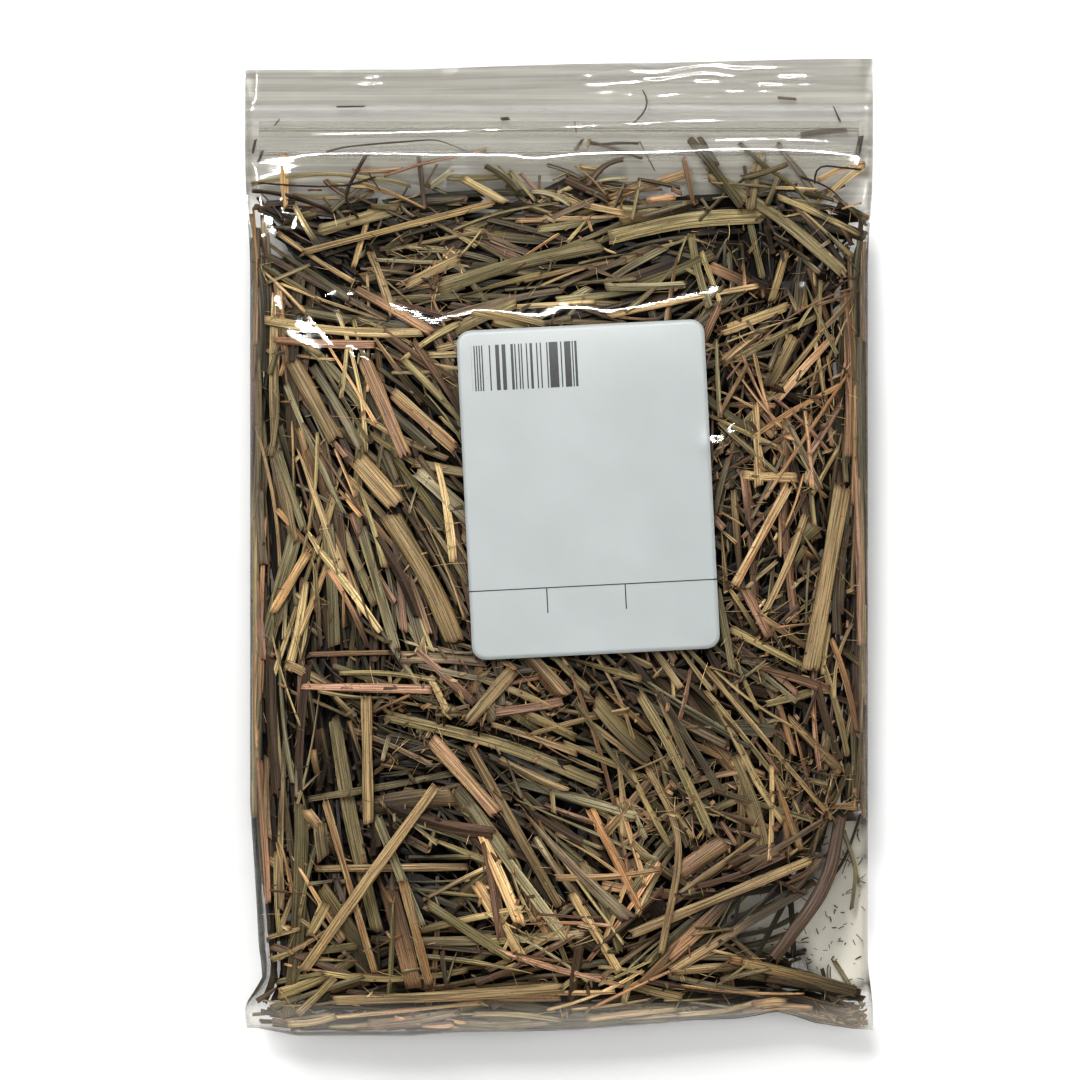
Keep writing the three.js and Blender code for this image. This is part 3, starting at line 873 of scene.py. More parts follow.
def heroLine(name):
    # the middle line and width of a lofted strip in the frame, from its rings of points
    points = np.unique(np.round(nodePoints(name), 3), axis=0)
    centre = points.mean(0)
    flat = points[:, :2] - centre[:2]
    axis = np.linalg.svd(flat, full_matrices=False)[2][0]
    along = flat @ axis
    order = np.argsort(along)
    groups = np.split(order, np.where(np.diff(along[order]) > heroFinish["ringGap"])[0] + 1)
    line, widths = [], []
    for group in groups:
        if len(group) > 2:
            ring = points[group]
            line.append([*(ring.min(0) + ring.max(0))[:2] / 2, ring[:, 2].max()])
            widths.append(np.ptp(flat[group] @ np.array([-axis[1], axis[0]])))
    return np.array(line), float(np.median(widths))


def readHeroes():
    found = []
    for name in sorted(frame["nodes"]):
        family = name.rsplit("_", 1)[0]
        if family in heroKinds:
            line, width = heroLine(name)
            found.append((name, heroKinds[family], refine(line, heroFinish["every"]), width))
    return found


heroes = readHeroes()
heroSlots = {entry["node"]: entry["material_slot"] for entry in frame["record"]["subparts"]}
print("single pieces read:", len(heroes))

# how the cuttings lie, region by region: x and y in mm, angle and spread in degrees, and the
# typical length and width in mm
flow = np.array([
    (-53, 80, 174, 14, 36, 2.2), (-14, 78, 10, 16, 42, 2.5), (28, 77, 8, 13, 42, 2.6),
    (56, 80, 134, 24, 30, 1.8), (63, 66, 56, 28, 30, 1.8), (-60, 58, 146, 20, 30, 1.8),
    (-25, 58, 172, 28, 26, 1.8), (8, 58, 12, 22, 28, 2.0), (46, 56, 62, 38, 22, 1.3),
    (-68, 34, 90, 7, 55, 2.2), (-68, -8, 90, 7, 55, 2.2), (-67, -52, 91, 7, 55, 2.3),
    (-49, 33, 116, 18, 36, 2.0), (-33, 28, 130, 20, 34, 1.9), (-51, 5, 104, 16, 38, 2.0),
    (-31, 0, 116, 18, 34, 2.0), (-37, -24, 108, 22, 34, 2.0), (-59, -25, 91, 14, 42, 2.1),
    (-53, -55, 95, 22, 46, 2.3), (-37, -73, 112, 38, 38, 2.1), (-20, -42, 152, 32, 30, 1.8),
    (2, -45, 168, 36, 28, 1.8), (20, -40, 140, 24, 30, 1.7), (0, -72, 142, 38, 34, 2.1),
    (22, -72, 118, 34, 32, 1.9), (42, -12, 60, 45, 20, 1.3), (43, 22, 118, 48, 18, 1.2),
    (66, 12, 86, 12, 42, 2.1), (52, -36, 150, 28, 30, 1.7), (66, -42, 80, 14, 36, 1.8),
    (-55, -104, 10, 18, 38, 1.9), (-14, -105, 4, 14, 42, 2.0), (32, -102, 20, 22, 38, 1.9),
    (42, -82, 30, 28, 36, 2.0),
])
flowReach = 11.0


def flowAt(rng, x, y):
    # one of the nearby entries, picked by how near it is
    far = ((flow[:, 0] - x) ** 2 + (flow[:, 1] - y) ** 2) / (2 * flowReach**2)
    weights = np.exp(-(far - far.min()))
    entry = flow[rng.choice(len(flow), p=weights / weights.sum())]
    return math.radians(entry[2] + rng.normal(0, entry[3])), entry[4], entry[5]


# round places at the bottom right where the bag holds almost nothing: x, y, radius
pockets = [
    (66, -68, 6),
    (67, -82, 10),
    (66, -94, 9),
    (54, -87, 7),
    (46, -83, 6),
    (40, -84, 4),
    (47, -90, 5),
]
pocketFade = 4  # mm from full to nothing at a pocket's edge


def pocketAt(x, y):
    inside = np.zeros(np.shape(x))
    for px, py, radius in pockets:
        away = np.hypot(x - px, y - py) - radius
        inside = np.maximum(inside, ease(0.5 - away / pocketFade))
    return inside


pile = {
    "depth": 9.5,  # how thick the modelled layer of loose pieces is
    "backDepth": 3.6,
    "clearance": 0.3,  # between the upper pieces and the film
    "leastRoom": 1.5,  # nothing lies where the two panels are closer than this
    "bottom": 0.9,  # kept clear along the bottom fold, and along the sides
    "side": 0.45,
    "leftCorner": 1.6,  # more kept clear along the left side, near the bottom
    "topRagged": 1.9,
    "topDrop": 0.8,
    "every": 1.4,  # how far apart a resting strip's points are
    "probe": 0.4,  # how far to each side it feels for what is under it, in parts of its width
    "steepest": 0.45,
    "over": 0.7,  # how far a piece may be pressed down by the film
    "underLabel": 1.0,  # room kept under the label
    # how far up the cuttings reach
    "topX": [-71, -62, -57, -40, -34, -3, 3, 17, 22, 40, 46, 71],
    "topY": [81.3, 81, 78.8, 78.6, 80.2, 80.4, 82.6, 82.6, 81.2, 80.8, 79.2, 79.2],
}

# the heap is laid in passes, from the deep strands up to the ones against the film
passParts = ("most", "wanted", "reach", "longer", "shortest", "wider", "flex", "detail")
frontPasses = [
    (800, 3.6, 1, 1.0, 0.45, 0.9, 0.25, 0),
    (800, 2.2, 1, 1.0, 0.5, 1.0, 0.2, 1),
    (620, 1.0, 2, 1.2, 0.6, 1.15, 0.15, 2),
    (300, 1.6, 1, 0.4, 0.12, 0.6, 0.2, 1),
]
backPasses = [(900, 1.0, 1, 1.0, 0.4, 1.0, 0.25, 0)]
kindShares = {"blade": 0.38, "fold": 0.2, "curl": 0.14, "stem": 0.28}
kindHeights = {"blade": 0.32, "fold": 0.45, "curl": 0.5, "stem": 0.5}


def contentMask():
    rng = np.random.default_rng(11)
    ragged = pile["topRagged"] * smoothNoise(rng, (grid["columns"],), 5)
    topEdge = np.interp(gridX, pile["topX"], pile["topY"]) + ragged - pile["topDrop"]
    lowEdge = np.interp(gridX, strayed["foldX"], strayed["foldY"]) + pile["bottom"]
    leftClear = pile["leftCorner"] * ease((gridY + 108) / 6) * ease((-66 - gridY) / 12)
    left = (halfWidth(gridY, -1) - pile["side"] - leftClear)[:, None]
    right = (halfWidth(gridY, 1) - pile["side"])[:, None]
    across = (everyX > -left) & (everyX < right)
    up = (everyY > lowEdge[None, :]) & (everyY < topEdge[None, :])
    roomy = frontFace - backFace > pile["leastRoom"]
    return across & up & roomy & (pocketAt(everyX, everyY) < 0.5)


mask = contentMask()
maskField = mask.astype(float)


stampEvery = 0.4  # mm between the places that a strand is stamped at


def stamp(field, line, width, height):
    # raises a height field to a strand's upper face
    along = distances(line)
    fine = np.linspace(0, along[-1], max(2, int(along[-1] / stampEvery)))
    x, y, z = (np.interp(fine, along, line[:, k]) for k in range(3))
    ahead = np.stack([np.gradient(x), np.gradient(y)], 1)
    ahead /= np.linalg.norm(ahead, axis=1)[:, None]
    offsets = np.linspace(-0.5, 0.5, max(2, int(width / stampEvery) + 1)) * width
    cellX = x[:, None] - ahead[:, 1:2] * offsets
    cellY = y[:, None] + ahead[:, 0:1] * offsets
    column = np.clip(np.round((cellX - grid["left"]) / grid["step"]).astype(int), 0, grid["columns"] - 1)
    row = np.clip(np.round((cellY - grid["bottom"]) / grid["step"]).astype(int), 0, grid["rows"] - 1)
    np.maximum.at(field, (row, column), np.broadcast_to(z[:, None] + height, row.shape))


dome = blur(frontFace, 8.0)


def restOn(top, ceiling, dome, x, y, angle, length, width, bow, height, flex):
    # lays a springy strip on the heap: it rests on two high places and sags a little between them.
    # heights are taken from the dome of the bag, so that long strips bend with it
    count = max(6, int(length / pile["every"]))
    t = np.linspace(-0.5, 0.5, count) * length
    sideways = bow * length * ((2 * t / length) ** 2 - 1 / 3)
    c, s = math.cos(angle), math.sin(angle)
    px, py = x + t * c - sideways * s, y + t * s + sideways * c
    if at(maskField, px[[0, -1]], py[[0, -1]]).min() < 0.5:
        return None
    reach = pile["probe"] * width
    beside = [(px - o * s, py + o * c) for o in (-reach, 0.0, reach)]
    bend = at(dome, px, py)
    under = np.maximum.reduce([at(top, *place) for place in beside]) - bend
    roof = np.minimum.reduce([at(ceiling, *place) for place in beside]) - bend
    half = count // 2
    # every line through a place on one half and a place on the other: the highest one is the rest
    ti, tj = t[: half + 1][:, None] - 0.01, t[half:][None, :] + 0.01
    hi, hj = under[: half + 1][:, None], under[half:][None, :]
    middle = (hi * tj - hj * ti) / (tj - ti)
    i, j = np.unravel_index(np.argmax(middle), middle.shape)
    slope = (hj[0, j] - hi[i, 0]) / (tj[0, j] - ti[i, 0])
    if abs(slope) > pile["steepest"]:
        return None
    straight = middle[i, j] + slope * t
    soft = np.convolve(np.pad(under, 3, mode="edge"), np.ones(7) / 7, mode="valid")
    z = np.maximum(straight + flex * (soft - straight), under)
    z = np.convolve(np.pad(z, 1, mode="edge"), (0.25, 0.5, 0.25), mode="valid")
    if np.max(z + height - roof) > pile["over"]:
        return None
    return np.stack([px, py, np.minimum(z, roof - height) + bend], 1)


filling = {
    "coarse": 4,  # the heap is looked at in every so many cells
    "deepest": 4,
    "enough": 20,  # a pass ends when its cells lack less than this in all
    "idle": 40,
    "batch": 32,
    "pull": 1.2,  # how strongly low places draw strips
    "tries": 5,
    "shrink": 0.86,  # how much shorter each further try is
    "lengthSpread": (-0.1, 0.34),  # of lengths and widths, next to what is typical
    "widthSpread": (-0.2, 0.45),
    "longest": 72,
    "widths": (0.45, 4.6),
    "widestStem": 2.3,
    "bow": 0.022,  # in parts of its length, and how much more for a strip under 0.9 mm wide
    "thinBow": 0.03,
    "stampedWidth": 0.8,
}


def fillHeap(rng, base, ceiling, dome, passes):
    # drops strips where the heap is lowest, pass by pass, until it nears the film
    top = base.copy()
    laid = []
    coarse = (slice(None, None, filling["coarse"]),) * 2
    kinds, shares = list(kindShares), list(kindShares.values())
    for entries in passes:
        plan = dict(zip(passParts, entries))
        before, idle = len(laid), 0
        while len(laid) - before < plan["most"] and idle < filling["idle"]:
            lack = ceiling - grow(top, plan["reach"]) - plan["wanted"]
            lack = np.clip(lack, 0, filling["deepest"])[coarse] * maskField[coarse]
            if lack.sum() < filling["enough"]:
                break
            chance = (lack ** filling["pull"]).ravel()
            now = len(laid)
            for pick in rng.choice(chance.size, size=filling["batch"], p=chance / chance.sum()):
                row, column = divmod(pick, lack.shape[1])
                x = gridX[coarse[1]][column] + rng.uniform(-1, 1)
                y = gridY[coarse[0]][row] + rng.uniform(-1, 1)
                for attempt in range(filling["tries"]):
                    angle, typical, wide = flowAt(rng, x, y)
                    length = typical * plan["longer"] * rng.lognormal(*filling["lengthSpread"])
                    length = length * filling["shrink"] ** attempt
                    length = float(np.clip(length, plan["shortest"] * typical, filling["longest"]))
                    width = wide * plan["wider"] * rng.lognormal(*filling["widthSpread"])
                    width = float(np.clip(width, *filling["widths"]))
                    kind = rng.choice(kinds, p=shares)
                    if kind == "stem":
                        width = min(width, filling["widestStem"])
                    bow = rng.normal(0, filling["bow"] + filling["thinBow"] * (width < 0.9))
                    height = kindHeights[kind]
                    line = restOn(top, ceiling, dome, x, y, angle, length, width, bow, height, plan["flex"])
                    if line is not None:
                        stamp(top, line, width * filling["stampedWidth"], height)
                        laid.append((line, width, kind, plan["detail"]))
                        break
            idle = idle + 1 if len(laid) - now < 2 else 0
        print("  pass laid", len(laid) - before)
    return laid, top


def heapCeiling():
    # the film, lowered over the single pieces so that nothing covers them
    roof = frontFace - pile["clearance"]
    for _, _, line, width in heroes:
        lowered = np.full_like(roof, -1e3)
        stamp(lowered, line * (1, 1, -1), width + 0.8, 0.0)
        roof = np.minimum(roof, np.where(lowered > -900, -lowered - 0.5, 1e3))
    return roof - pile["underLabel"] * underLabel(everyX, everyY, label["pressedRim"])


label = {
    "width": 57.2,
    "height": 76,
    "corner": 3.2,
    "x": 6.7,
    "y": 13,
    "turn": 2.9,
    "thickness": 0.13,
    "lift": 0.14,
    "pressedRim": 3,  # how far past its edges it flattens what is under it
    "across": 58,  # points in its mesh
    "up": 76,
}


def onLabel(x, y):
    # places in the label's own millimetres, from its middle
    turn = math.radians(label["turn"])
    dx, dy = x - label["x"], y - label["y"]
    return dx * math.cos(turn) + dy * math.sin(turn), dy * math.cos(turn) - dx * math.sin(turn)


def underLabel(x, y, rim):
    # 1 under the label, and down to 0 within its rim
    u, v = onLabel(x, y)
    across = ease((label["width"] / 2 + rim - np.abs(u)) / label["pressedRim"])
    up = ease((label["height"] / 2 + rim - np.abs(v)) / label["pressedRim"])
    return across * up


edgeStrips = {
    "perSide": 150,
    "bottom": 300,
    "spread": 2.4,  # how far in they lie
    "typical": (28, 15),  # lengths, at the sides and at the bottom
    "lengths": (6, 62),
    "width": 1.5,
    "widths": (0.5, 3.2),
    "turn": (0.03, 0.12),
    "bow": 0.4,
    "nearest": 0.3,  # to the edge
    "alongY": (-108, 80),
    "alongX": (-70, 70.5),
    "clearance": (0.4, 0.35),  # over the back panel, and under the roof
    "every": 1.6,
}


def edgeStrands(rng, top, roof):
    # strips that lie along both sides and the bottom fold, where the bag is narrow
    found = []
    for side in [-1] * edgeStrips["perSide"] + [1] * edgeStrips["perSide"] + [0] * edgeStrips["bottom"]:
        typical, turned = edgeStrips["typical"][side == 0], edgeStrips["turn"][side == 0]
        length = float(np.clip(typical * rng.lognormal(0, 0.4), *edgeStrips["lengths"]))
        width = float(np.clip(edgeStrips["width"] * rng.lognormal(-0.1, 0.45), *edgeStrips["widths"]))
        reach = 0.35 + np.abs(rng.normal(0, edgeStrips["spread"]))
        t = np.linspace(-0.5, 0.5, max(6, int(length / edgeStrips["every"]))) * length
        inward = reach + 0.2 * width + rng.normal(0, turned) * t
        inward = inward + rng.normal(0, edgeStrips["bow"]) * (2 * t / length) ** 2
        inward = np.maximum(inward, edgeStrips["nearest"])
        first, last = edgeStrips["alongY" if side else "alongX"]
        place = rng.uniform(first + length / 2, last - length / 2) + t
        if side:
            y = place
            x = side * (halfWidth(y, side) - inward)
        else:
            x = place
            y = np.interp(x, strayed["foldX"], strayed["foldY"]) + inward
        if at(maskField, x[[0, -1]], y[[0, -1]]).min() < 0.5 or at(maskField, x, y).mean() < 0.9:
            continue
        low = at(backFace, x, y) + edgeStrips["clearance"][0]
        high = at(roof, x, y) - edgeStrips["clearance"][1]
        share = 1 - min(abs(rng.normal(0, 0.5)), 0.95)
        z = low + np.maximum(high - low, 0) * share
        line = np.stack([x, y, z], 1)
        stamp(top, line, width * 0.7, 0.3)
        found.append((line, width, rng.choice(["blade", "fold", "curl"]), 1))
    return found


frontBase = np.maximum(frontFace - pile["depth"], backFace + 0.6)
frontRoof = heapCeiling()
bundles = edgeStrands(np.random.default_rng(19), frontBase, frontRoof)
startBase = np.minimum(frontBase, frontRoof - 0.5)
laid, heapTop = fillHeap(np.random.default_rng(23), startBase, frontRoof, dome, frontPasses)
laid = bundles + laid
lack = (frontFace - pile["clearance"] - heapTop)[mask]
print("front heap:", len(laid), "strands, lack", np.round(np.percentile(lack, (5, 50, 90)), 2))

backRoof = -(backFace + 0.3)
backBase = np.maximum(backRoof - pile["backDepth"], -(frontBase - 0.4))
backLaid = fillHeap(np.random.default_rng(29), backBase, backRoof, blur(backRoof, 8.0), backPasses)[0]
print("back heap:", len(backLaid), "strands")

# how common each colour is, and how much more so near the zip and at the right
colourShares = {
    "umber": (0.07, 0.9, 1.0),
    "plum": (0.06, 0.5, 1.3),
    "greyGreen": (0.17, 1.4, 0.5),
    "olive": (0.17, 2.0, 0.6),
    "khaki": (0.18, 1.4, 0.9),
    "straw": (0.09, 0.7, 0.9),
    "tan": (0.15, 0.8, 1.6),
    "rust": (0.05, 0.6, 1.3),
    "pink": (0.06, 0.6, 2.0),
}
shareTable = np.array([colourShares[name] for name in paletteOrder])

# places where the cuttings are darker or lighter than elsewhere: x, y, reach, change
dimSpots = [
    (6, -42, 30, -0.4),
    (-55, 5, 34, 0.6),
    (-30, -80, 30, 0.65),
    (14, -92, 22, 0.45),
    (0, 64, 28, 0.3),
    (30, -112, 14, 0.55),
    (-30, -112, 14, 0.55),
]

# regions where the shares above change, and how light the strands are painted, with painted shade deeper
# under the film and against the side walls
shading = {
    "zipFrom": 48,
    "rightFrom": 25,
    "regionFade": 20,
    "lightness": (0.57, 0.13),
    "litDepth": 0.8,  # pieces this far under the film get no painted shade
    "paintedShadeFall": 1.2,  # painted shade: each further so many mm darken a strand's colour to about a third
    "wallShade": 0.55,  # painted shade: how light pieces against the side walls are painted, next to the others
    "wallReach": 5,
}


def palettePlace(name):
    return paletteOrder.index(name) / (len(paletteOrder) - 1)


def lookOf(rng, x, y, depth):
    # where in the palette a strand's colour lies, how light it is painted at each depth, with painted shade
    # deeper under the film, and how far along the palette the colour of its stripes lies
    nearZip = ease((y - shading["zipFrom"]) / shading["regionFade"])
    atRight = ease((x - shading["rightFrom"]) / shading["regionFade"]) * (1 - nearZip)
    plain, zipChange, rightChange = shareTable.T
    shares = plain * (1 + nearZip * (zipChange - 1)) * (1 + atRight * (rightChange - 1))
    index = rng.choice(len(shares), p=shares / shares.sum())
    pick = np.clip((index + rng.uniform(-0.35, 0.35)) / (len(shares) - 1), 0, 1)
    light = np.clip(rng.normal(*shading["lightness"]), 0.1, 1)
    # painted shade: the deeper a strand lies under the film, the darker its colour
    light = light * np.exp(-np.maximum(depth - shading["litDepth"], 0) / shading["paintedShadeFall"])
    for spotX, spotY, reach, change in dimSpots:
        light = light * (1 + change * math.exp(-((x - spotX) ** 2 + (y - spotY) ** 2) / reach**2))
    count = len(light)
    return np.stack([np.full(count, pick), light, np.full(count, rng.uniform(0, 1))], 1)


# rings along a strand every so many mm, points on top and underneath, and ribs, for each level of detail
detailLevels = [
    {"every": 4.5, "points": 3, "under": 2, "ribs": 0.0},
    {"every": 3.2, "points": 5, "under": 2, "ribs": 0.02},
    {"every": 2.8, "points": 7, "under": 2, "ribs": 0.028},
]
ribbedWidth = 1.2  # strands wider than this have ribs
leaning = {"reach": 0.8, "steepest": 1.5, "share": 0.85, "strays": 0.2, "twist": 0.4}


def strandOf(rng, line, width, kind, detail, up=1.0):
    level = detailLevels[detail]
    line = refine(line, level["every"])
    face = frontFace if up > 0 else backFace
    depth = up * (at(face, line[:, 0], line[:, 1]) - line[:, 2])
    look = lookOf(rng, *line[len(line) // 2, :2], depth)
    toWall = halfWidth(line[:, 1], 1) - np.abs(line[:, 0])
    # painted shade: pieces against the side walls are darkened
    look[:, 1] *= shading["wallShade"] + (1 - shading["wallShade"]) * ease((toWall - 1) / shading["wallReach"])
    # the strip leans as the film above it does
    ahead = np.gradient(line[:, :2], axis=0)
    ahead /= np.linalg.norm(ahead, axis=1)[:, None]
    sideX, sideY = -up * ahead[:, 1], up * ahead[:, 0]
    reach, steepest = leaning["reach"], leaning["steepest"]
    rise = at(face, line[:, 0] + sideX * reach, line[:, 1] + sideY * reach)
    fall = at(face, line[:, 0] - sideX * reach, line[:, 1] - sideY * reach)
    lean = np.arctan(np.clip((rise - fall) / (2 * reach), -steepest, steepest)) * up
    drift = np.linspace(-0.5, 0.5, len(line)) * rng.normal(0, leaning["twist"])
    roll = leaning["share"] * lean + rng.normal(0, leaning["strays"]) + drift
    taper = rng.choice([0.0, 0.0, 0.0, 0.3, 0.8])
    ribs = level["ribs"] if width > ribbedWidth else 0.0
    shape = {"points": level["points"], "under": level["under"], "ribs": ribs}
    return strandShape(rng, line, width, kind, look, up=up, taper=taper, roll=roll, **shape)


def heapPieces():
    rng = np.random.default_rng(31)
    layers = [Heap() for _ in range(5)]
    for order, (line, width, kind, detail) in enumerate(laid):
        layer = 0 if detail == 0 else detail * 2 - order % 2
        layers[layer].add(strandOf(rng, line, width, kind, detail))
    for i, heap in enumerate(layers):
        mesh = heap.mesh("looseCuttings")
        addPiece(f"loose_cuttings_{i + 1}", mesh, mixedLeaf, "packed", "packed_cuttings")
        print("  layer", i + 1, "has", heap.triangles, "triangles")
    back = Heap()
    for line, width, kind, detail in backLaid:
        back.add(strandOf(rng, line * (1, 1, -1), width, kind, detail, up=-1.0))
    addPiece("under_cuttings", back.mesh("underCuttings"), mixedLeaf, "packed", "packed_cuttings")


heapPieces()


def heroPieces():
    rng = np.random.default_rng(37)
    shape = {key: heroFinish[key] for key in ("points", "under", "ribs")}
    for name, kind, path, width in heroes:
        slot = heroSlots[name]
        light = np.clip(rng.normal(*heroFinish["lightness"]), 0, 1)
        look = np.array([0.5, light, rng.uniform(0, 1)])
        heap = Heap()
        line = path.copy()
        if kind != "stem":
            line[:, 2] -= heroFinish["sunk"] * width
        wander = np.linspace(0, rng.uniform(2, 5), len(line)) + rng.uniform(0, 6)
        roll = heroFinish["roll"] * np.sin(wander)
        heap.add(strandShape(rng, line, width, kind, look, roll=roll, **shape))
        for end, ahead in ((0, line[0] - line[1]), (-1, line[-1] - line[-2])):
            ahead = ahead / np.linalg.norm(ahead)
            side = np.array([-ahead[1], ahead[0], 0])
            for _ in range(heroFinish["frays"]):
                start = line[end] + side * rng.uniform(-0.45, 0.45) * width - ahead * 0.5
                t = np.linspace(0, 1, 4)[:, None]
                reach = rng.uniform(*heroFinish["fraySizes"][0])
                curl = side * rng.normal(0, 0.3) * reach * t**2
                fray = start + ahead * reach * t + curl - t * (0, 0, 0.1)
                thin = rng.uniform(*heroFinish["fraySizes"][1])
                heap.add(strandShape(rng, fray, thin, "flake", look, points=2, under=1, taper=0.7))
        addPiece(name + "_cut", heap.mesh(name + "Cut"), slotLeaf[slot], slot, name)
        stamp(heapTop, line, width, 0.4)


heroPieces()
print("single pieces made")

# fine fibres and small flakes that lie on the heap
litter = {
    "fibres": 1900,
    "fibreLengths": (0.95, 0.55),
    "fibreWidths": (0.07, 0.17),
    "fibreBow": 0.035,
    "fibreLightness": (0.48, 0.18),
    "flakes": 800,
    "flakeLengths": (0.7, 3.4),
    "flakeWidths": (0.25, 0.9),
    "flakeLightness": (0.5, 0.2),
    "clustered": 0.4,
    "clusterSpread": 6,
    "x": (-70, 70),
    "y": (-109, 84),
    "sunk": (-0.7, 0.15),
    "tilt": 0.3,
    "clearance": 0.35,
    "clusters": [
        (42, 18), (48, -20), (0, -34), (-18, -36), (30, -58), (40, 48), (-30, 66), (62, -60),
        (-32, -38), (20, -62), (55, -55), (-5, -88), (60, 30),
    ],
}


def litterSpot(rng):
    if rng.random() < litter["clustered"]:
        x, y = litter["clusters"][rng.integers(len(litter["clusters"]))]
        spread = litter["clusterSpread"]
        return x + rng.normal(0, spread), y + rng.normal(0, spread)
    return rng.uniform(*litter["x"]), rng.uniform(*litter["y"])


def curvedLine(x, y, angle, length, bow, count):
    t = np.linspace(-0.5, 0.5, count) * length
    sideways = bow * length * (2 * t / length) ** 2
    c, s = math.cos(angle), math.sin(angle)
    return x + t * c - sideways * s, y + t * s + sideways * c


def litterPiece():
    rng = np.random.default_rng(43)
    heap = Heap()
    resting = blur(grow(heapTop, 1), 1.2)
    made = 0
    while made < litter["fibres"] + litter["flakes"]:
        x, y = litterSpot(rng)
        if at(maskField, x, y) < 0.5:
            continue
        made += 1
        if made < litter["fibres"]:
            length, under = rng.lognormal(*litter["fibreLengths"]), 1
            width = rng.uniform(*litter["fibreWidths"])
            angle, bow = rng.uniform(0, math.pi), rng.normal(0, litter["fibreBow"])
            px, py = curvedLine(x, y, angle, length, bow, 5)
            palette = rng.uniform(palettePlace("khaki"), palettePlace("tan"))
            light = rng.normal(*litter["fibreLightness"])
        else:
            length, under = rng.uniform(*litter["flakeLengths"]), 2
            width = rng.uniform(*litter["flakeWidths"])
            px, py = curvedLine(x, y, rng.uniform(0, math.pi), length, 0.0, 3)
            palette = rng.uniform(0, 1)
            light = rng.normal(*litter["flakeLightness"])
        z = at(resting, px, py) + rng.uniform(*litter["sunk"])
        z = z + np.linspace(-1, 1, len(px)) * rng.normal(0, litter["tilt"])
        z = np.minimum(z, at(frontFace, px, py) - litter["clearance"])
        look = np.array([palette, np.clip(light, 0, 1), rng.uniform(0, 1)])
        heap.add(strandShape(rng, np.stack([px, py, z], 1), width, "flake", look, points=2, under=under))
    addPiece("fine_litter", heap.mesh("fineLitter"), mixedLeaf, "packed", "packed_cuttings")
    print("litter has", heap.triangles, "triangles")


litterPiece()

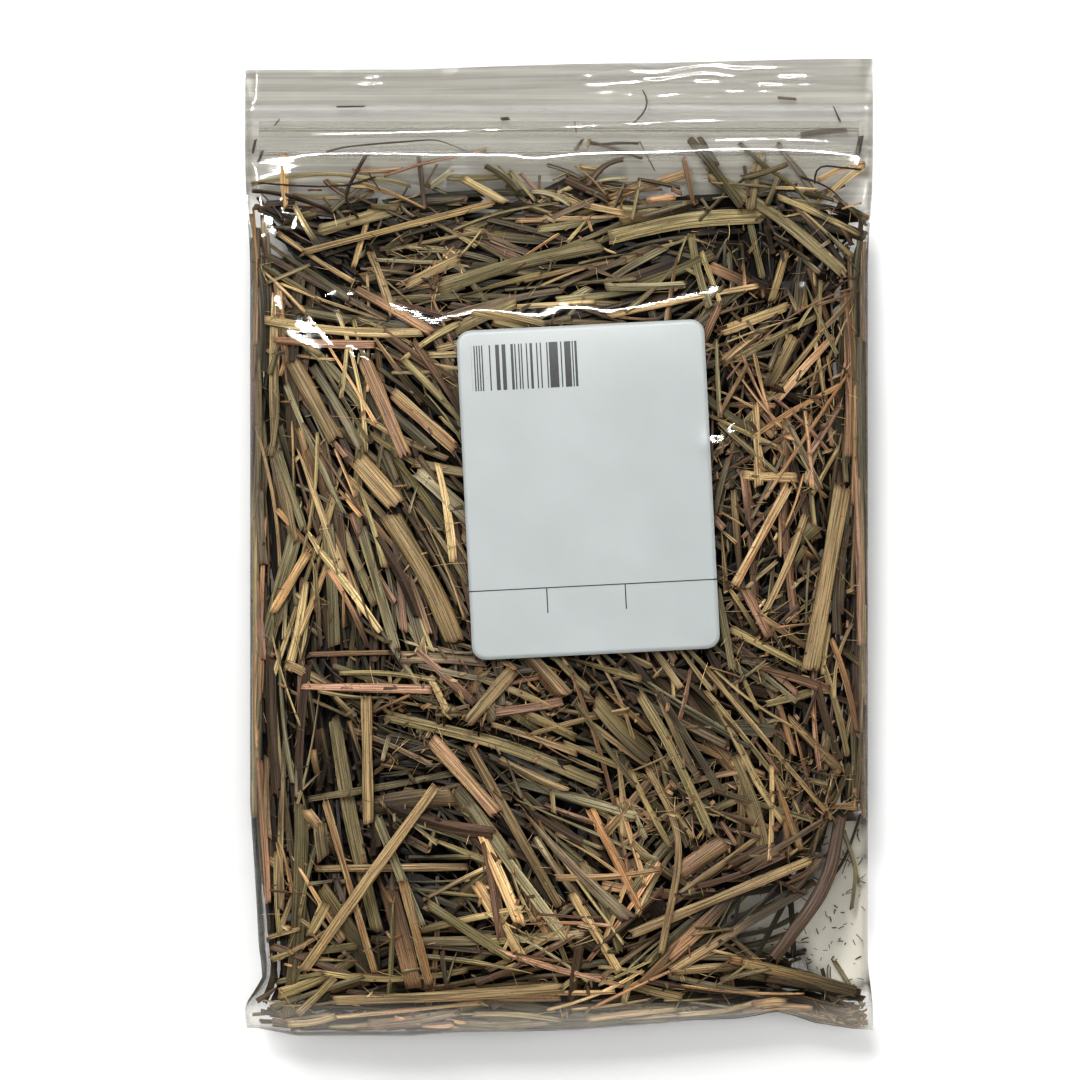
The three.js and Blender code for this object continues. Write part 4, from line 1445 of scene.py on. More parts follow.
# pieces that have crept up towards the zip: kind, width, colour, lightness, depth under the film,
# and the points each passes
headStrays = [
    ("blade", 1.0, "olive", 0.5, 0.5, [
        (-71.2, 83.9), (-64.5, 85), (-57.5, 86.2), (-50.6, 86.2),
        (-45.5, 85.3), (-40.2, 84.8), (-34.4, 83.4),
    ]),
    ("stem", 2.6, "tan", 0.62, 0.3, [(-63.6, 90.6), (-63.6, 85), (-63.3, 78)]),
    ("fold", 0.9, "plum", 0.2, 0.4, [(-44.6, 90.8), (-47.1, 86.4), (-50.1, 80.6), (-46.5, 76)]),
    ("blade", 1.1, "umber", 0.4, 0.9, [(-32.6, 90.6), (-31.9, 85.7), (-31.2, 78)]),
    ("stem", 0.45, "umber", 0.25, 0.2, [
        (-53.8, 91.3), (-50.6, 92.4), (-43.7, 93.1), (-34.4, 93.8),
        (-28.4, 94.3), (-24.7, 92.9), (-21, 91.3),
    ]),
    ("blade", 0.8, "pink", 0.45, 0.5, [
        (-40.4, 85.7), (-33.3, 88.2), (-27.5, 89.6),
        (-20.6, 91), (-16.9, 92),
    ]),
    ("fold", 1.3, "olive", 0.25, 0.6, [(-16.9, 88), (-12.5, 85.4), (-9.5, 82)]),
    ("blade", 1.0, "khaki", 0.5, 0.6, [(-11.3, 86.9), (-5.5, 80)]),
    ("blade", 0.9, "pink", 0.4, 0.9, [(-9, 86.4), (-3.2, 80.5)]),
    ("curl", 1.9, "khaki", 0.55, 0.8, [(-22.2, 85), (-12.5, 79.6)]),
    ("blade", 0.5, "umber", 0.4, 0.7, [(-30.7, 84.1), (-28.2, 88.5)]),
    ("blade", 1.3, "greyGreen", 0.6, 1.0, [(-29.8, 83.2), (-24.7, 87.3)]),
    ("fold", 1.0, "umber", 0.2, 0.5, [(-71, 82.2), (-65.6, 81.8), (-58.7, 79.9), (-52.9, 77.8)]),
    ("stem", 0.4, "umber", 0.2, 0.3, [
        (-69.6, 84.1), (-62.2, 83.5), (-55.2, 83.2),
        (-48.3, 83.6), (-42.5, 85.5),
    ]),
    ("fold", 1.2, "tan", 0.5, 0.5, [(-46.5, 84.3), (-36.7, 80.9), (-31, 78.1)]),
    ("stem", 0.3, "umber", 0.3, 0.4, [(-44.1, 86.4), (-41.4, 82.2)]),
    ("blade", 0.6, "umber", 0.1, 0.2, [(-68.6, 91.6), (-69.6, 89)]),
    ("fold", 1.0, "khaki", 0.3, 0.5, [(3.7, 91.6), (5.5, 94.3)]),
    ("fold", 1.0, "khaki", 0.4, 0.5, [(6.0, 91.2), (7.2, 94.2)]),
    ("fold", 0.9, "umber", 0.35, 0.4, [(7.6, 93.4), (11.8, 92.5), (14.6, 91.6), (19.2, 89.8)]),
    ("curl", 1.4, "plum", 0.3, 0.3, [(6.7, 83.4), (9, 87.3), (12.9, 89.6), (15, 89.7)]),
    ("fold", 1.9, "olive", 0.2, 0.4, [(30.3, 94.3), (33.7, 90.3), (37.2, 85.7), (42.3, 78.6)]),
    ("blade", 1.2, "olive", 0.15, 0.9, [(32.6, 94.7), (36.8, 88.4)]),
    ("fold", 1.2, "olive", 0.3, 0.4, [(41.8, 93.4), (47.6, 88), (54.5, 83.4), (59.2, 77.6)]),
    ("blade", 2.3, "khaki", 0.4, 1.0, [(46.9, 91.3), (45.3, 85.7), (44.1, 78)]),
    ("blade", 0.8, "umber", 0.4, 0.8, [(43, 88), (43.8, 81)]),
    ("blade", 1.4, "greyGreen", 0.3, 0.7, [(50.6, 93.3), (55.7, 86.9), (59.2, 82)]),
    ("stem", 0.4, "umber", 0.1, 0.2, [(59.2, 84), (59.3, 87.6), (61, 88.5), (63, 87.9), (70, 87.2)]),
    ("blade", 1.2, "tan", 0.6, 0.4, [(59.9, 84.6), (64.9, 87.3), (70.9, 88.7)]),
    ("blade", 1.4, "straw", 0.55, 0.5, [(62.6, 81.6), (67.2, 85.7), (70.9, 88)]),
    ("stem", 0.5, "umber", 0.15, 0.4, [(55.7, 85.7), (60.3, 84.1), (63.8, 82.2), (65.4, 79.9)]),
    ("blade", 1.2, "rust", 0.25, 1.3, [(28.9, 90.3), (29.8, 85.7), (31.2, 79)]),
    ("blade", 0.9, "khaki", 0.5, 0.4, [(16.9, 75.3), (18.3, 82.2), (18.8, 84.8)]),
    ("curl", 2.2, "umber", 0.5, 0.8, [(1.6, 84.8), (11, 80.6)]),
    ("stem", 0.4, "tan", 0.5, 0.3, [(10.9, 81.3), (7.2, 85.7), (3.7, 88)]),
    ("stem", 0.25, "umber", 0.2, 0.3, [(18.7, 93.8), (22.2, 86.9)]),
    ("blade", 3.0, "umber", 0.05, 1.3, [(50.8, 85), (51.4, 78)]),
    ("blade", 1.4, "umber", 0.35, 0.2, [(56, 95.1), (61.5, 96.1), (66.6, 96.4)]),
    ("blade", 1.2, "umber", 0.15, 0.4, [(70, 95), (69.1, 90.6)]),
    ("stem", 0.4, "umber", 0.15, 0.2, [(-51.5, 101.8), (-45, 101.9)]),
    ("stem", 0.3, "umber", 0.2, 0.2, [(-66, 97.4), (-64.7, 98.9)]),
    ("blade", 0.6, "umber", 0.05, 0.2, [(-71, 91), (-70.3, 94.2)]),
    ("blade", 0.8, "umber", 0.1, 0.2, [(-13.4, 98.9), (-11.6, 99.1)]),
    ("stem", 0.35, "umber", 0.15, 0.2, [(16.9, 97.6), (20.4, 101), (20.8, 104.2), (19.4, 105.6)]),
    ("stem", 0.4, "umber", 0.1, 0.2, [(65.2, 98.3), (63.6, 101.9)]),
    ("blade", 0.7, "umber", 0.5, 0.2, [(50.8, 103.9), (54.9, 103.6)]),
    ("blade", 0.6, "umber", 0.2, 0.3, [(9.2, 93), (14, 93.5), (18.5, 93.3)]),
    ("stem", 0.3, "umber", 0.2, 0.3, [(4, 96), (3.6, 98.4)]),
]

# loose bits over the upper edge of the heap, so that it ends unevenly
edgeStrays = {
    "count": 90,
    "x": (-70, 70),
    "lengths": (2.0, 0.45),
    "longest": 26,
    "widths": (0.4, 1.5),
    "above": 1.6,
    "spread": 2.6,
    "turn": 0.55,
    "bow": 0.03,
    "depth": (0.7, 2.2),  # how deep they look, for their shade
    "ribs": 0.015,
    "highest": 90,
    "farthestOut": 71.3,
}


def edgeStrayStrips(rng, heap):
    topEdge = np.array([gridY[mask[:, i]].max() if mask[:, i].any() else 75 for i in range(len(gridX))])
    for _ in range(edgeStrays["count"]):
        x = rng.uniform(*edgeStrays["x"])
        y = np.interp(x, gridX, topEdge) + edgeStrays["above"] + rng.normal(0, edgeStrays["spread"])
        length = min(rng.lognormal(*edgeStrays["lengths"]), edgeStrays["longest"])
        angle, bow = rng.normal(0, edgeStrays["turn"]), rng.normal(0, edgeStrays["bow"])
        px, py = curvedLine(x, y, angle, length, bow, 7)
        if np.abs(px).max() > edgeStrays["farthestOut"] or py.max() > edgeStrays["highest"]:
            continue
        width = rng.uniform(*edgeStrays["widths"])
        room = at(frontFace - backFace, px, py)
        z = at(frontFace, px, py) - 0.4 - rng.uniform(0.1, 0.6) * np.minimum(room - 1.2, 6)
        kind = rng.choice(["blade", "fold", "stem", "curl"])
        look = lookOf(rng, x, y, np.full(len(px), rng.uniform(*edgeStrays["depth"])))
        heap.add(strandShape(rng, np.stack([px, py, z], 1), width, kind, look, ribs=edgeStrays["ribs"]))


def headStrayPiece():
    rng = np.random.default_rng(47)
    heap = Heap()
    edgeStrayStrips(rng, heap)
    for kind, width, colour, light, depth, path in headStrays:
        line = refine(np.array([(x, y, 0) for x, y in path], float), 1.6)
        room = at(frontFace - backFace, line[:, 0], line[:, 1])
        sunk = 0.25 + np.minimum(depth, room - 1.0) + 0.3 * width
        line[:, 2] = at(frontFace, line[:, 0], line[:, 1]) - sunk
        look = np.array([palettePlace(colour), light, rng.uniform(0.3, 0.7)])
        roll = rng.normal(0, 0.15)
        taper = rng.choice([0, 0.2, 0.5])
        shape = {"points": 7, "under": 3, "ribs": 0.02 if width > ribbedWidth else 0.0}
        heap.add(strandShape(rng, line, width, kind, look, roll=roll, taper=taper, **shape))
    addPiece("headspace_strays", heap.mesh("headspaceStrays"), mixedLeaf, "packed")


headStrayPiece()

# strips seen through the hazy pocket at the bottom right: width, colour, lightness, height over the
# back, and the points each passes
pocketStrips = [
    (1.5, "greyGreen", 0.5, 2.6, [(40.2, -86.4), (48.8, -83.7), (55.7, -80.2), (59.2, -77.7)]),
    (1.1, "greyGreen", 0.45, 2.2, [(41.4, -90.6), (49.9, -88.8), (55.7, -85.3)]),
    (1.0, "khaki", 0.4, 1.8, [(40.7, -93.4), (51.1, -91.1), (54.5, -88.8)]),
    (1.4, "umber", 0.4, 1.6, [(32.6, -94.5), (46.5, -92.2), (53.4, -89.9)]),
    (1.2, "khaki", 0.5, 2.0, [(32.6, -96.2), (41.8, -95.2), (51.1, -93.4)]),
    (1.0, "olive", 0.4, 1.4, [(63.8, -96.2), (67.2, -101.5), (70.6, -106.8)]),
    (0.8, "umber", 0.3, 1.2, [(61, -98), (62.4, -103), (63.2, -107)]),
    (0.9, "olive", 0.5, 3.0, [(66, -66), (69, -75), (67.8, -84)]),
    (0.6, "umber", 0.35, 2.0, [(70, -62), (66.2, -73), (61, -80)]),
    (0.7, "khaki", 0.4, 2.4, [(63, -60), (66.5, -68), (69.4, -78)]),
]

# fine bits scattered in the pocket, and bits heaped along the fold below it
pocketCrumbs = {
    "fibres": 150,
    "x": (40, 71),
    "y": (-108, -60),
    "lengths": (0.1, 0.45),
    "widths": (0.1, 0.26),
    "bow": 0.05,
    "above": (0.3, 1.6),  # over the back panel
    "lightness": (0.1, 0.5),
    "heaped": 420,
    "heapX": (52, 71),
    "heapRise": 4.5,
    "heapTurn": (-0.12, 0.3),
    "heapLengths": (1.1, 0.5),
    "heapWidths": (0.2, 0.7),
    "heapBow": 0.08,
    "heapLightness": (0.15, 0.6),
    "farthestOut": 71.5,
}


def pocketPiece():
    rng = np.random.default_rng(53)
    heap = Heap()
    for width, colour, light, height, path in pocketStrips:
        line = refine(np.array([(x, y, 0) for x, y in path], float), 1.8)
        line[:, 2] = at(backFace, line[:, 0], line[:, 1]) + height
        look = np.array([palettePlace(colour), light, rng.uniform(0.3, 0.7)])
        heap.add(strandShape(rng, line, width, rng.choice(["blade", "fold"]), look))
    made = 0
    while made < pocketCrumbs["fibres"]:
        x, y = rng.uniform(*pocketCrumbs["x"]), rng.uniform(*pocketCrumbs["y"])
        if pocketAt(x, y) < 0.3 and at(maskField, x, y) > 0.5:
            continue
        made += 1
        angle, length = rng.uniform(0, math.pi), rng.lognormal(*pocketCrumbs["lengths"])
        px, py = curvedLine(x, y, angle, length, rng.normal(0, pocketCrumbs["bow"]), 4)
        z = at(backFace, px, py) + rng.uniform(*pocketCrumbs["above"])
        look = np.array([rng.uniform(0, 0.3), rng.uniform(*pocketCrumbs["lightness"]), rng.uniform(0, 1)])
        width = rng.uniform(*pocketCrumbs["widths"])
        heap.add(strandShape(rng, np.stack([px, py, z], 1), width, "flake", look, points=2))
    for _ in range(pocketCrumbs["heaped"]):
        x = rng.uniform(*pocketCrumbs["heapX"])
        low = float(shapedY(x, np.array(bagLow[1]))) + 0.6
        y = low + abs(rng.normal(0, 0.5)) * pocketCrumbs["heapRise"] * ease((x - 50) / 10)
        angle, length = rng.normal(*pocketCrumbs["heapTurn"]), rng.lognormal(*pocketCrumbs["heapLengths"])
        px, py = curvedLine(x, y, angle, length, rng.normal(0, pocketCrumbs["heapBow"]), 4)
        py = py + np.maximum(low - py.min(), 0)
        if px.max() > pocketCrumbs["farthestOut"]:
            continue
        share = rng.uniform(0.1, 0.9)
        z = at(backFace, px, py) * (1 - share) + (at(frontFace, px, py) - 0.5) * share
        look = np.array([rng.uniform(0, 1), rng.uniform(*pocketCrumbs["heapLightness"]), rng.uniform(0, 1)])
        width = rng.uniform(*pocketCrumbs["heapWidths"])
        heap.add(strandShape(rng, np.stack([px, py, z], 1), width, "flake", look, points=2))
    addPiece("pocket_crumbs", heap.mesh("pocketCrumbs"), mixedLeaf, "packed")


pocketPiece()

core = {
    "rows": 90,
    "columns": 64,
    "low": -104,
    "high": 76,
    "left": 60,
    # it ends well short of the empty pocket
    "rightY": (-104, -98, -66, -54, -44),
    "right": (40, 36, 44, 54, 60),
    "rim": 8,  # how far in from its ends it is at its full thickness
    "sideRim": 0.12,  # and from its sides, in parts of its half width
    "lumps": 0.5,
    "sunk": (0.8, 0.2),  # under the loose pieces of the front, and of the back
    "thinnest": 0.2,
}


def corePiece():
    rows, columns = core["rows"], core["columns"]
    ys = np.linspace(core["low"], core["high"], rows)
    shares = np.linspace(-1, 1, columns)
    right = np.interp(ys, core["rightY"], core["right"])[:, None]
    x = np.where(shares < 0, shares * core["left"], shares * right)
    y = np.broadcast_to(ys[:, None], x.shape)
    ends = ease((ys - core["low"]) / core["rim"]) * ease((core["high"] - ys) / core["rim"])
    rim = ease((1 - np.abs(shares))[None, :] / core["sideRim"]) * ends[:, None]
    lumps = smoothNoise(np.random.default_rng(59), x.shape, 1.2) * core["lumps"]
    high = at(frontBase, x, y) - core["sunk"][0] + lumps
    low = -at(backBase, x, y) + core["sunk"][1] + lumps
    middle = (high + low) / 2
    half = np.maximum((high - low) / 2, core["thinnest"]) * rim
    upper = np.stack([x, y, middle + half], -1).reshape(-1, 3)
    lower = np.stack([x, y, middle - half], -1).reshape(-1, 3)
    faceSets = [gridQuads(rows, columns), gridQuads(rows, columns, rows * columns, flip=True)]
    mesh = newMesh("deepTangle", np.concatenate([upper, lower]), faceSets)
    addPiece("deep_tangle", mesh, coreMaterial(), "packed", "packed_cuttings")


corePiece()
print("heap finished")

filmShape = {
    "columns": 170,
    "backColumns": 76,
    "evenness": 0.55,  # 1 spaces the columns evenly, and 0 crowds them towards the sides
    "inset": 0.05,
    "settle": 90,  # how many rounds the front film is drawn in for
    "clearance": 0.22,
    "drop": 0.004,  # in mm a round, where it hangs free
    "rise": 0.02,
    "bulge": 0.6,  # how far it may lie above the solid's face
    "backLumps": 0.25,
}

# creases and rolls that stand up in the front film: height, half width, and the points each passes
ridges = [
    (0.9, 1.7, [(-54.8, 61), (-53.4, 54.5), (-49.5, 46.4)]),
    (0.4, 2.0, [(-72, 28), (-66, 24), (-63, 14)]),
    (0.9, 1.8, [(33, 24.5), (37.5, 22.5), (41, 26.5), (46.5, 22)]),
    (0.14, 0.9, [(11, 66.5), (15, 66)]),
    (0.14, 0.9, [(46, 66.6), (50, 65.6)]),
    (0.5, 1.8, [(62, -52), (66, -60), (60, -70)]),
    (0.6, 2.0, [(52, -80), (60, -92), (64, -104)]),
    (0.5, 1.0, [(39.5, -109), (45, -104), (50.6, -99.5)]),
    (0.8, 1.8, [(-71, -70), (-66, -86), (-69, -104)]),
    (0.5, 1.5, [(-40, -108), (0, -107), (40, -105)]),
    (0.1, 0.35, [(-72, 94.7), (-29.8, 95.7), (-1.6, 96.6), (30.3, 98.2), (52.2, 98.6)]),
    (0.12, 0.35, [(32.6, 93.6), (48.8, 94.1), (66, 93.3)]),
    (0.08, 0.9, [(-1.4, 90.5), (-1.2, 101), (-1.6, 112)]),
]

# patches of small ripples: middle x and y, half size across and up, wavelength, height
ripplePatches = [
    (33, 108, 24, 4.5, 1.8, 0.075),
    (-43.4, 104.5, 1.5, 5, 1.4, 0.08),
    (18, 108, 12, 3, 2.2, 0.05),
    (0, 104, 80, 9, 3.1, 0.018),
]

# steps in the film, falling to the left of the path as it is followed
steps = [
    (1.1, 2.7, [(-73, 66), (-68.6, 58), (-65.4, 53), (-60.2, 49.2), (-50, 45.8)]),
]


def foldField(x, y):
    # the ridges, then the steps
    field = np.zeros(x.shape)
    for height, reach, path, stepped in [(*r, False) for r in ridges] + [(*s, True) for s in steps]:
        path = refine(np.array([(*p, 0) for p in path], float), 0.8)[:, :2]
        low, high = path.min(0) - 4 * reach, path.max(0) + 4 * reach
        near = (x > low[0]) & (x < high[0]) & (y > low[1]) & (y < high[1])
        spots = np.stack([x[near], y[near]], 1)
        nearest, share, side = np.full(len(spots), 1e9), np.zeros(len(spots)), np.zeros(len(spots))
        for k in range(len(path) - 1):
            start, run = path[k], path[k + 1] - path[k]
            t = np.clip((spots - start) @ run / (run @ run), 0, 1)
            away = np.linalg.norm(spots - start - t[:, None] * run, axis=1)
            closer = away < nearest
            nearest = np.where(closer, away, nearest)
            share = np.where(closer, (k + t) / (len(path) - 1), share)
            leftOf = np.sign(run[0] * (spots[:, 1] - start[1]) - run[1] * (spots[:, 0] - start[0]))
            side = np.where(closer, leftOf, side)
        ends = ease(share / 0.2) * ease((1 - share) / 0.2)
        if stepped:
            # down by half the height on one side, up on the other, and level again further off
            levelling = np.exp(-((nearest / (3.2 * reach)) ** 4))
            profile = -0.5 * np.tanh(1.2 * side * nearest / reach) * levelling
        else:
            profile = np.exp(-((nearest / reach) ** 2)) * (0.25 + 0.75 * ends)
        field[near] += height * profile
    return field


def rippleField(rng, x, y):
    field = np.zeros(x.shape)
    for middleX, middleY, halfX, halfY, wave, height in ripplePatches:
        inside = np.exp(-(((x - middleX) / halfX) ** 4) - ((y - middleY) / halfY) ** 4)
        broken = np.clip(smoothNoise(rng, x.shape, 2.2) + 0.4, 0, 1.5)
        phase = smoothNoise(rng, (x.shape[1],), 4) * 1.5 + smoothNoise(rng, x.shape, 5) * 0.8
        field += inside * broken * height * np.sin(2 * math.pi * y / wave + phase)
    return field


def filmRows():
    fold = bagLow[1] + np.array([0, 0.15, 0.4, 0.7])
    body = np.arange(bagLow[1] + 1, 84, 1.0)
    shoulder = np.arange(84, 89.6, 0.45)
    above = np.array([0.05, 0.16, 0.28, 0.4, 0.55, 0.7, 0.9])
    line = lineRow + np.concatenate([-above[::-1], above])
    zipBand = np.arange(92.1, 99, 0.24)
    head = np.arange(99, mouthRow, 0.32)
    return np.concatenate([fold, body, shoulder, line, zipBand, head, [mouthRow]])


def filmSheet(front, columns, ys):
    # the outer face of one panel, as rows of points from the left seam to the right one
    shares = np.linspace(-1, 1, columns)
    even = filmShape["evenness"]
    shares = even * shares + (1 - even) * np.sin(shares * math.pi / 2)
    rows = ys[:, None] * np.ones(columns)
    left, right = (np.interp(ys, *solidOutline[side])[:, None] for side in (-1, 1))
    solidX = np.where(shares < 0, shares * left, shares * right)
    inset = np.sign(solidX) * np.maximum(np.abs(solidX) - filmShape["inset"], 0)
    castRows = np.maximum(rows, bagLow[1] + filmShape["inset"])
    if front:
        castRows = rollWarp(solidX, castRows)
    z = castHeights(inset.ravel(), castRows.ravel(), front).reshape(rows.shape)
    edge = left[:, 0] - 0.3
    seam = (castHeights(edge, castRows[:, 0], True) + castHeights(edge, castRows[:, 0], False)) / 2
    known = ~np.isnan(seam)
    seam = np.interp(ys, ys[known], seam[known])
    z = np.where(np.isnan(z), seam[:, None], z)
    z[:, 0] = z[:, -1] = seam
    z[0] = seam[0]
    crest = z[np.argmin(np.abs(ys - headShape["from"]))]
    head = headFace(rows, z, crest[None, :], front)
    z = z + (head - z) * ease((1 - np.abs(shares))[None, :] / 0.04)
    x = np.where(shares < 0, shares * halfWidth(ys, -1)[:, None], solidX)
    return x, shapedY(x, rows), rows, z, shares


def settleFilm(x, y, z, top):
    # draws the film in over the heap, as a skin that rests on the high places
    obstacle = at(grow(top, 1), x, y) + filmShape["clearance"]
    z = blur(z, 1.0)
    for _ in range(filmShape["settle"]):
        padded = np.pad(z, 1, mode="edge")
        average = (padded[:-2, 1:-1] + padded[2:, 1:-1] + padded[1:-1, :-2] + padded[1:-1, 2:]) / 4
        z = np.maximum(average - filmShape["drop"], np.minimum(obstacle, z + filmShape["rise"]))
    return blur(z, 1.0)


# how milky each panel is above the heap, in the empty pocket, and along the bottom or round the heap; above
# 1 the grey is painted lighter, as painted light
veils = {
    "front": {"upperFrom": 88, "upper": 0.5, "pocket": 0.25},
    # painted light: the back panel's grey is painted lighter in the pocket, and round the heap its milky
    # grey also paints over the shade under the bag
    "back": {"upperFrom": 80, "upper": 1.0, "pocket": 2.0},
    # painted light: the front panel's grey is painted lighter along the bottom
    "frontBottom": 1.8,
    "backRim": 0.8,
    "streaks": 0.1,
    "most": 2,
}


def veilField(front):
    veil = veils["front" if front else "back"]
    streaks = smoothNoise(np.random.default_rng(67 + front), (grid["rows"],), 0.9)[:, None]
    streaks = 1 + veils["streaks"] * streaks
    upper = ease((everyY - veil["upperFrom"]) / 4) * veil["upper"]
    pocket = blur(pocketAt(everyX, everyY), 2.0) * veil["pocket"]
    if front:
        band = ease((-103 - everyY) / 6) * veils["frontBottom"]
    else:
        band = veils["backRim"] * (1 - blur(maskField, 1.5))
    return np.clip(np.maximum.reduce([upper * streaks, pocket, band * streaks]), 0, veils["most"])


def frontFilmPiece():
    rng = np.random.default_rng(61)
    ys = filmRows()
    x, y, rows, cad, shares = filmSheet(True, filmShape["columns"], ys)
    settled = settleFilm(x, y, cad.copy(), heapTop)
    fromSide = (1 - np.abs(shares))[None, :]
    # it stays on the solid's face at the seams, along the fold and under the zip
    share = ease(fromSide / 0.12) * ease((ys - bagLow[1]) / 6)[:, None] * ease((89 - ys) / 8)[:, None]
    z = cad + (np.minimum(settled, cad + filmShape["bulge"]) - cad) * share
    z = z + (blur(z, 4.0) - z) * underLabel(x, y, 2)
    head = ease((ys - 89) / 3)[:, None] * ease(fromSide / 0.03)
    z += head * rippleField(rng, x, y)
    z += foldField(x, y) * ease(fromSide / 0.05)
    points = np.stack([x, y, z], -1).reshape(-1, 3)
    sheet = np.stack([x, rows, z * 0], -1).reshape(-1, 3)
    veil = at(veilField(True), x, y)
    faces = [gridQuads(*x.shape)]
    mesh = newMesh("frontFilm", points, faces, sheet=sheet, veil=veil.reshape(-1, 1))
    addPiece("front_film", mesh, frontFilmMaterial, "film", "bag_film")
    return x, y, z


def backFilmPiece():
    rng = np.random.default_rng(71)
    x, y, rows, z, shares = filmSheet(False, filmShape["backColumns"], filmRows()[::2])
    lumps = np.abs(smoothNoise(rng, x.shape, 3.0)) * filmShape["backLumps"]
    z = z + lumps * ease(z / 3) * ease((1 - np.abs(shares))[None, :] / 0.1) * ease((86 - rows) / 8)
    points = np.stack([x, y, z], -1).reshape(-1, 3)
    sheet = np.stack([x, rows, z * 0 + 50], -1).reshape(-1, 3)
    veil = at(veilField(False), x, y)
    faces = [gridQuads(*x.shape, flip=True)]
    mesh = newMesh("backFilm", points, faces, sheet=sheet, veil=veil.reshape(-1, 1))
    addPiece("back_film", mesh, backFilmMaterial, "film", "bag_film")


frontX, frontY, frontZ = frontFilmPiece()
backFilmPiece()
print("film made")

# the zip keeps the frame's solids
for zipName in ("lower_zip_rib", "lower_zip_groove", "upper_zip_rib", "upper_zip_groove"):
    zipNode = frame["nodes"][zipName]
    zipNode.data.materials.clear()
    zipNode.data.materials.append(zipMaterial)


def filmHeightAt(x, y):
    # the front film's height at points, between its nearest rows and columns
    row = np.interp(y, frontY[:, frontY.shape[1] // 2], np.arange(len(frontY)))
    lowRow = np.clip(row.astype(int), 0, len(frontY) - 2)
    heights = np.empty(np.shape(x))
    for place in np.ndindex(heights.shape):
        r = lowRow[place]
        part = row[place] - r
        low = np.interp(x[place], frontX[r], frontZ[r])
        high = np.interp(x[place], frontX[r + 1], frontZ[r + 1])
        heights[place] = low * (1 - part) + high * part
    return heights


def labelPiece():
    turn = math.radians(label["turn"])
    half = np.array([label["width"], label["height"]]) / 2
    across, up = label["across"], label["up"]
    u, v = np.meshgrid(np.linspace(-1, 1, across), np.linspace(-1, 1, up))
    localX, localY = u * half[0], v * half[1]
    # pull the grid's corners onto the label's round corners
    inner = half - label["corner"]
    overX, overY = np.abs(localX) - inner[0], np.abs(localY) - inner[1]
    corner = (overX > 0) & (overY > 0)
    scale = np.where(corner, np.maximum(overX, overY) / np.maximum(np.hypot(overX, overY), 1e-9), 1.0)
    localX = np.where(corner, np.sign(localX) * (inner[0] + overX * scale), localX)
    localY = np.where(corner, np.sign(localY) * (inner[1] + overY * scale), localY)
    x = label["x"] + localX * math.cos(turn) - localY * math.sin(turn)
    y = label["y"] + localX * math.sin(turn) + localY * math.cos(turn)
    under = filmHeightAt(x, y)
    z = np.maximum(blur(under, 2.0), grow(under, 1)) + label["lift"]
    page = np.stack([localX + half[0], localY + half[1], localX * 0], -1).reshape(-1, 3)
    points = np.stack([x, y, z], -1).reshape(-1, 3)
    mesh = newMesh("paperLabel", points, [gridQuads(up, across)], page=page)
    piece = addPiece("paper_label_sheet", mesh, labelMaterial(), "label", "paper_label")
    skin = piece.modifiers.new("paperThickness", "SOLIDIFY")
    skin.thickness = label["thickness"] * mm
    skin.offset = 1


labelPiece()
print("label made")

studio = {
    "floorSize": 6,
    "floorDrop": 0.0002,
    "worldLow": (0.9, 0.9, 0.9, 1),
    "worldHigh": (0.03, 0.03, 0.03, 1),
    "worldStrengths": (0.81, 0.2),  # as it lights the bag, and as the film mirrors it
    "look": "High Contrast",
    "bounces": 6,
    "eachBounces": 2,
    "clearBounces": 32,
}

# the strip lamp, whose mirror image runs along the zip: its tilt from straight above, and its distance
tilt, far = math.radians(26), 1.3

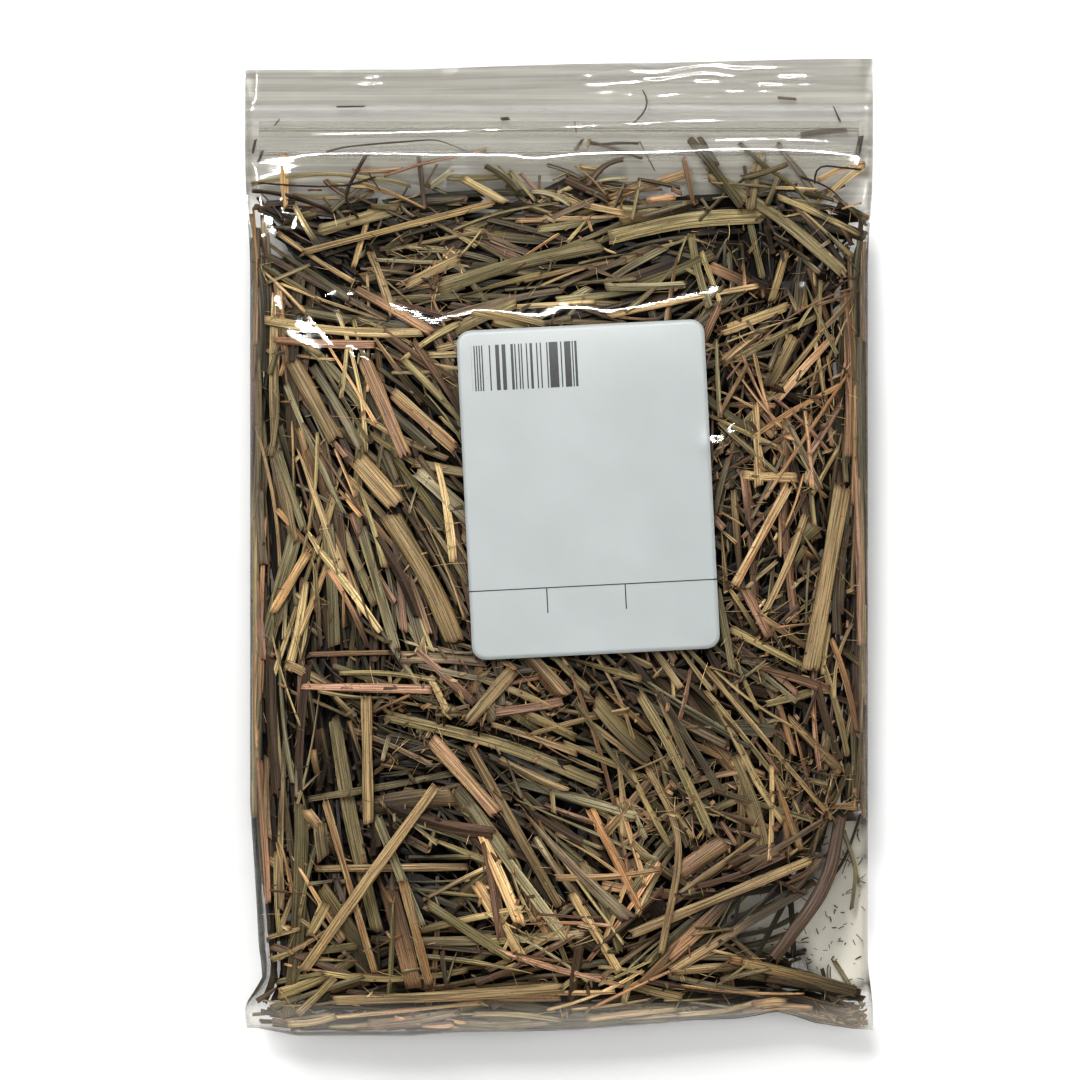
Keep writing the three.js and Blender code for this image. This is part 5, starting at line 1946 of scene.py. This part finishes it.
# name, place and size in metres, watts, and whether it lights things or only shows in the film's gloss
lamps = [
    ("keySoft", (-0.35, 0.95, 1.05), (0.6, 0.6), 11.7, "soft"),
    ("topSoft", (0.1, -0.1, 1.2), (1.0, 1.0), 4.7, "soft"),
    ("rightSoft", (1.2, -0.3, 0.8), (0.8, 0.8), 3.8, "soft"),
    ("leftGlint", (-0.66, 0.42, 1.0), (0.19, 0.19), 11.0, "gloss"),
    ("glintStrip", (0, math.sin(tilt) * far, math.cos(tilt) * far), (0.5, 0.05), 21, "gloss"),
]


def addFloor():
    half = studio["floorSize"] / 2 / mm
    corners = np.array([(-half, -half, 0), (half, -half, 0), (half, half, 0), (-half, half, 0)], float)
    corners[:, 2] = -studio["floorDrop"] / mm
    mesh = newMesh("floor", corners, [np.array([[0, 1, 2, 3]])])
    floor = bpy.data.objects.new("floor", mesh)
    mesh.materials.append(floorMaterial())
    scene.collection.objects.link(floor)


def addAreaLight(name, place, size, power, shown):
    data = bpy.data.lights.new(name, "AREA")
    data.shape = "RECTANGLE"
    data.size, data.size_y = size
    data.energy = power
    lamp = bpy.data.objects.new(name, data)
    lamp.location = place
    lamp.rotation_euler = (-Vector(place)).to_track_quat("-Z", "Y").to_euler()
    lamp.visible_camera = False
    lamp.visible_glossy = shown == "gloss"
    lamp.visible_diffuse = shown == "soft"
    lamp.visible_transmission = shown == "soft"
    scene.collection.objects.link(lamp)


def addWorld():
    world = bpy.data.worlds.new("studio")
    scene.world = world
    world.use_nodes = True
    tree = world.node_tree
    tree.nodes.clear()
    aim = addNode(tree, "SeparateXYZ", {0: addNode(tree, "TexCoord").outputs["Generated"]}).outputs[2]
    colour = mixColour(tree, between(tree, aim, 0.15, 0.75), studio["worldLow"], studio["worldHigh"])
    mirrored = addNode(tree, "LightPath").outputs["Is Glossy Ray"]
    strength = between(tree, mirrored, 0.0, 1.0, *studio["worldStrengths"], smooth=False)
    glow = addNode(tree, "Background", {"Color": colour, "Strength": strength})
    tree.links.new(glow.outputs[0], addNode(tree, "OutputWorld").inputs["Surface"])


addFloor()
for lamp in lamps:
    addAreaLight(*lamp)
addWorld()
scene.view_settings.view_transform = "Standard"
scene.view_settings.look = studio["look"]
scene.cycles.transparent_max_bounces = studio["clearBounces"]
scene.cycles.max_bounces = studio["bounces"]
scene.cycles.diffuse_bounces = studio["eachBounces"]
scene.cycles.glossy_bounces = studio["eachBounces"]
print("stage ready")
